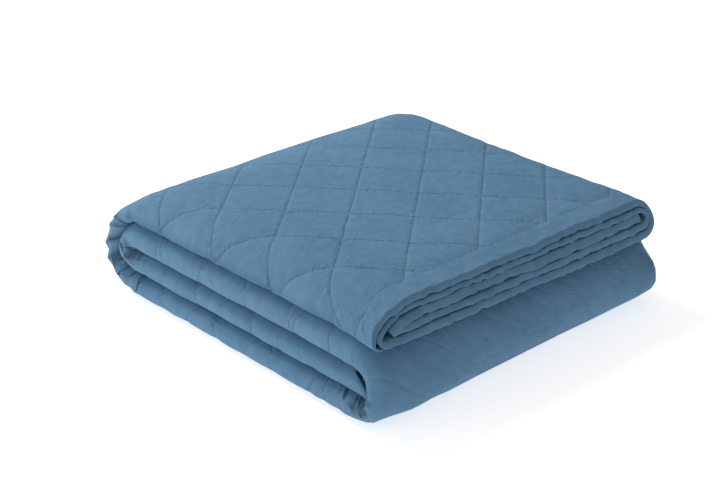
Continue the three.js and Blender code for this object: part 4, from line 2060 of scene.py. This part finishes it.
@dataclass(frozen=True)
class WeaveFinish:
    """The plain weave and the fine crumples of washed cotton, as a shader node group.

    Attributes:
        yarn: The distance between two yarns, in millimetres.
        slub: How many thicker yarns and thinner ones go in a millimetre, along a yarn and across it.
        crumple: The length and width of a fine crumple.
        crumple_stray, stray_length: How far the crumples stray from their lines, and over what length.
        patch, patch_edge: The size of patches with more crumples, and how soft their edges are.
        calm: How much of their height is left outside the patches.
        mottle, mottle_detail, mottle_share: The size of small faded places, how ragged they are, and
            how much they count.
        faded_patch, patch_share: The size of large faded patches, and how much they count.
    """

    yarn: float = 0.55
    slub: Pair = (0.05, 1.1)
    crumple: Pair = (11.0, 6.0)
    crumple_stray: float = 22.0
    stray_length: float = 24.0
    patch: float = 45.0
    patch_edge: Band = (0.38, 0.62)
    calm: float = 0.25
    mottle: float = 11.0
    mottle_detail: float = 3.0
    faded_patch: float = 70.0
    mottle_share: float = 0.6
    patch_share: float = 0.4

    def build(self, quilting: Quilting) -> bpy.types.NodeTree:
        """Builds the group.

        Args:
            quilting: The quilting, whose lines the crumples follow.

        Returns:
            The group. It takes a place on the flat cloth in millimetres and gives the height of the weave
            and of the crumples, thicker yarns, and how faded the colour is.
        """
        names = ("Weave", "Crumples", "Slubs", "Fading")
        group = group_of("washed_weave", names)
        bench = NodeBench(group)
        cloth = group.nodes["Group Input"].outputs["Cloth"]
        x, y = bench.parts(cloth)
        turn = math.pi / self.yarn
        wave_x = bench.math("SINE", bench.times(x, turn))
        weave = bench.times(wave_x, bench.math("SINE", bench.times(y, turn)))
        long, wide = self.slub
        slub_x = bench.noise(bench.vector(bench.times(x, long), bench.times(y, wide)), 1.0, 1.0)
        slub_y = bench.noise(bench.vector(bench.times(x, wide), bench.times(y, long)), 1.0, 1.0)
        slubs = bench.minus(bench.plus(slub_x, slub_y), 2.0 * NOISE_MIDDLE)
        long_x, long_y = (part / quilting.side for part in quilting.first)
        noise = bench.noise(cloth, 1.0 / self.stray_length, 1.0)
        stray = bench.times_plus(noise, 2.0 * self.crumple_stray, -self.crumple_stray)
        along = bench.times_plus(x, long_x, bench.times(y, long_y))
        across = bench.times_plus(x, -long_y, bench.times(y, long_x))
        across = bench.plus(across, stray)
        length, width = self.crumple
        place = bench.vector(bench.math("DIVIDE", along, length), bench.math("DIVIDE", across, width))
        crumples = bench.times_plus(bench.noise(place, 1.0, 2.0), 2.0, -1.0)
        patches = bench.fade(bench.noise(cloth, 1.0 / self.patch, 1.0), *self.patch_edge, self.calm, 1.0)
        crumples = bench.times(crumples, patches)
        mottle = bench.noise(cloth, 1.0 / self.mottle, self.mottle_detail)
        faded = bench.times(bench.noise(cloth, 1.0 / self.faded_patch, 1.0), self.patch_share)
        fading = bench.times_plus(mottle, self.mottle_share, faded)
        for name, wire in zip(names, (weave, crumples, slubs, fading)):
            bench.put(group.nodes["Group Output"].inputs[name], wire)
        return group


@dataclass(frozen=True)
class BlueCotton:
    """The finish of the cloth: a soft, washed, mid-blue cotton with a little sheen.

    Attributes:
        faded: Its colour where it is washed out a little more.
        seam: A painted shade colour for the groove and the holes of the stitches.
        crease: A painted shade colour for the bottom of a pressed crease, where little light comes.
        crease_shade_share: How much of that painted shade the deepest creases take.
        rougher: How much rougher faded cloth is.
        groove_depth, hole_depth: How deep the groove of the stitches is, and how much deeper their holes.
        pucker_height, crumple_height, weave_height, slub_height: How high each of these stands.
        slub_fading: How much more faded the thicker yarns are.
        faded_edge: Between which values of the fading the colour changes.
        hole_shade_share, groove_shade_share: How much of that painted shade a hole and the line between
            holes take.
    """

    colour: Place = (0.086, 0.193, 0.308)
    faded: Place = (0.112, 0.231, 0.358)
    seam: Place = (0.050, 0.122, 0.205)
    crease: Place = (0.016, 0.040, 0.070)
    crease_shade_share: float = 0.8
    roughness: float = 0.8
    rougher: float = 0.08
    gloss: float = 0.12
    sheen: float = 0.06
    sheen_roughness: float = 0.5
    groove_depth: float = 1.0
    hole_depth: float = 0.3
    pucker_height: float = 0.6
    crumple_height: float = 0.65
    weave_height: float = 0.035
    slub_height: float = 0.07
    slub_fading: float = 0.12
    faded_edge: Band = (0.32, 0.68)
    hole_shade_share: float = 0.25
    groove_shade_share: float = 0.05

    def build(self, quilting: Quilting, edges: Edges) -> bpy.types.Material:
        """Builds the material.

        Args:
            quilting: The quilting whose lines are sewn.
            edges: The lowest and highest x, and the lowest and highest y, of the flat cloth.

        Returns:
            The material, which reads the flat cloth's UV map.
        """
        material = bpy.data.materials.new("blue_cotton")
        material.use_nodes = True
        bench = NodeBench(material.node_tree)
        nodes = material.node_tree.nodes
        surface = nodes["Principled BSDF"]
        surface.inputs["Sheen Weight"].default_value = self.sheen
        surface.inputs["Sheen Roughness"].default_value = self.sheen_roughness
        surface.inputs["Specular IOR Level"].default_value = self.gloss
        places = nodes.new("ShaderNodeUVMap")
        places.uv_map = "flat_cloth"
        cloth = nodes.new("ShaderNodeVectorMath")
        cloth.operation = "SCALE"
        bench.put(cloth.inputs["Vector"], places.outputs["UV"])
        cloth.inputs["Scale"].default_value = 1.0 / MM
        sewn = nodes.new("ShaderNodeGroup")
        sewn.node_tree = SeamFinish().build(quilting, edges)
        woven = nodes.new("ShaderNodeGroup")
        woven.node_tree = WeaveFinish().build(quilting)
        for group in (sewn, woven):
            bench.put(group.inputs["Cloth"], cloth.outputs["Vector"])
        height = bench.times(sewn.outputs["Groove"], -self.groove_depth)
        for wire, amount in (
            (sewn.outputs["Stitches"], -self.hole_depth),
            (sewn.outputs["Puckers"], self.pucker_height),
            (woven.outputs["Crumples"], self.crumple_height),
            (woven.outputs["Weave"], self.weave_height),
            (woven.outputs["Slubs"], self.slub_height),
        ):
            height = bench.times_plus(wire, amount, height)
        bump = nodes.new("ShaderNodeBump")
        bump.inputs["Distance"].default_value = MM
        bench.put(bump.inputs["Height"], height)
        bench.put(surface.inputs["Normal"], bump.outputs["Normal"])
        fading = bench.times_plus(woven.outputs["Slubs"], self.slub_fading, woven.outputs["Fading"])
        fading = bench.fade(fading, *self.faded_edge)
        cotton = bench.blend(fading, self.colour, self.faded)
        # Painted shade in the grooves and the holes of the stitches: the cloth's colour is blended towards
        # the seam's dark colour.
        line = bench.times(sewn.outputs["GrooveShade"], self.groove_shade_share)
        seam_shade = bench.times_plus(sewn.outputs["Stitches"], self.hole_shade_share, line)
        seam_shaded_cotton = bench.blend(seam_shade, cotton, self.seam)
        # Painted shade in the bottoms of the creases, read from the mesh's point attribute.
        painted_crease_shade = nodes.new("ShaderNodeAttribute")
        painted_crease_shade.attribute_name = "painted_crease_shade"
        pressed = bench.times(painted_crease_shade.outputs["Fac"], self.crease_shade_share)
        bench.put(surface.inputs["Base Color"], bench.blend(pressed, seam_shaded_cotton, self.crease))
        roughness = bench.fade(fading, 0.0, 1.0, self.roughness, self.roughness + self.rougher)
        bench.put(surface.inputs["Roughness"], roughness)
        return material


@dataclass(frozen=True)
class Lamp:
    """A soft square light, with its place and what it faces in metres, and its power in watts."""

    name: str
    place: Place
    size: float
    power: float
    aim: Place = (0.0, 0.0, 0.05)

    def build(self) -> None:
        """Hangs the light."""
        data = bpy.data.lights.new(self.name, "AREA")
        data.size = self.size
        data.energy = self.power
        light = bpy.data.objects.new(self.name, data)
        light.location = self.place
        light.rotation_euler = (Vector(self.aim) - Vector(self.place)).to_track_quat("-Z", "Y").to_euler()
        bpy.context.scene.collection.objects.link(light)


@dataclass(frozen=True)
class Studio:
    """The floor, the lights and the camera.

    Attributes:
        camera_at, camera_turn: Where the camera stands, in metres, and how it is turned, in degrees.
        floor_half: Half the floor's side, in metres.
        floor_grey, floor_roughness, floor_glow: How pale the floor is, how rough, and how much it glows.
        room: How strong the light from all round is.
    """

    camera_at: Place = (0.9869, -0.9296, 0.6781)
    camera_turn: Place = (65.0106, 0.0, 47.5846)
    lens: float = 75.0
    floor_half: float = 30.0
    floor_grey: float = 0.9
    floor_roughness: float = 0.9
    floor_glow: float = 0.62
    room: float = 0.39
    lamps: tuple[Lamp, ...] = (
        Lamp("key", (-1.1, -0.2, 1.3), 0.7, 21.5),
        Lamp("fill", (-0.35, -1.4, 0.5), 0.9, 4.0),
    )

    def build(self) -> None:
        """Sets up the studio."""
        self.build_floor()
        self.build_lights()
        data = bpy.data.cameras.new("camera")
        data.lens = self.lens
        camera = bpy.data.objects.new("camera", data)
        camera.location = self.camera_at
        camera.rotation_euler = [math.radians(turn) for turn in self.camera_turn]
        bpy.context.scene.collection.objects.link(camera)
        bpy.context.scene.camera = camera

    def build_floor(self) -> None:
        """Lays a plain pale floor."""
        mesh = bpy.data.meshes.new("floor")
        half = self.floor_half
        corners = [((2 * right - 1) * half, (2 * up - 1) * half, 0.0) for right, up in CORNERS]
        mesh.from_pydata(corners, [], [(0, 1, 2, 3)])
        floor = bpy.data.objects.new("floor", mesh)
        bpy.context.scene.collection.objects.link(floor)
        paper = bpy.data.materials.new("white_paper")
        paper.use_nodes = True
        grey = self.floor_grey
        surface = paper.node_tree.nodes["Principled BSDF"]
        surface.inputs["Base Color"].default_value = (grey, grey, grey, 1.0)
        surface.inputs["Roughness"].default_value = self.floor_roughness
        surface.inputs["Emission Color"].default_value = WHITE
        surface.inputs["Emission Strength"].default_value = self.floor_glow
        mesh.materials.append(paper)

    def build_lights(self) -> None:
        """Lights the stack from the left and above, with a soft fill all round."""
        world = bpy.data.worlds.new("soft_room")
        world.use_nodes = True
        background = world.node_tree.nodes["Background"]
        background.inputs["Color"].default_value = WHITE
        background.inputs["Strength"].default_value = self.room
        bpy.context.scene.world = world
        bpy.context.scene.view_settings.view_transform = "Standard"
        for lamp in self.lamps:
            lamp.build()


def main() -> None:
    """Builds the blanket and the studio."""
    logging.basicConfig(level=logging.INFO, format="%(name)s: %(message)s")
    blanket = FoldedBlanket()
    sheet = blanket.build()
    sheet.data.materials.append(BlueCotton().build(blanket.quilting, blanket.edges))
    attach(sheet, "root")
    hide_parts("quilted_blanket")
    triangles = sum(len(face.vertices) - 2 for face in sheet.data.polygons)
    log.info("%s: %d points, %d triangles", sheet.name, len(sheet.data.vertices), triangles)
    Studio().build()


if __name__ == "__main__":
    main()
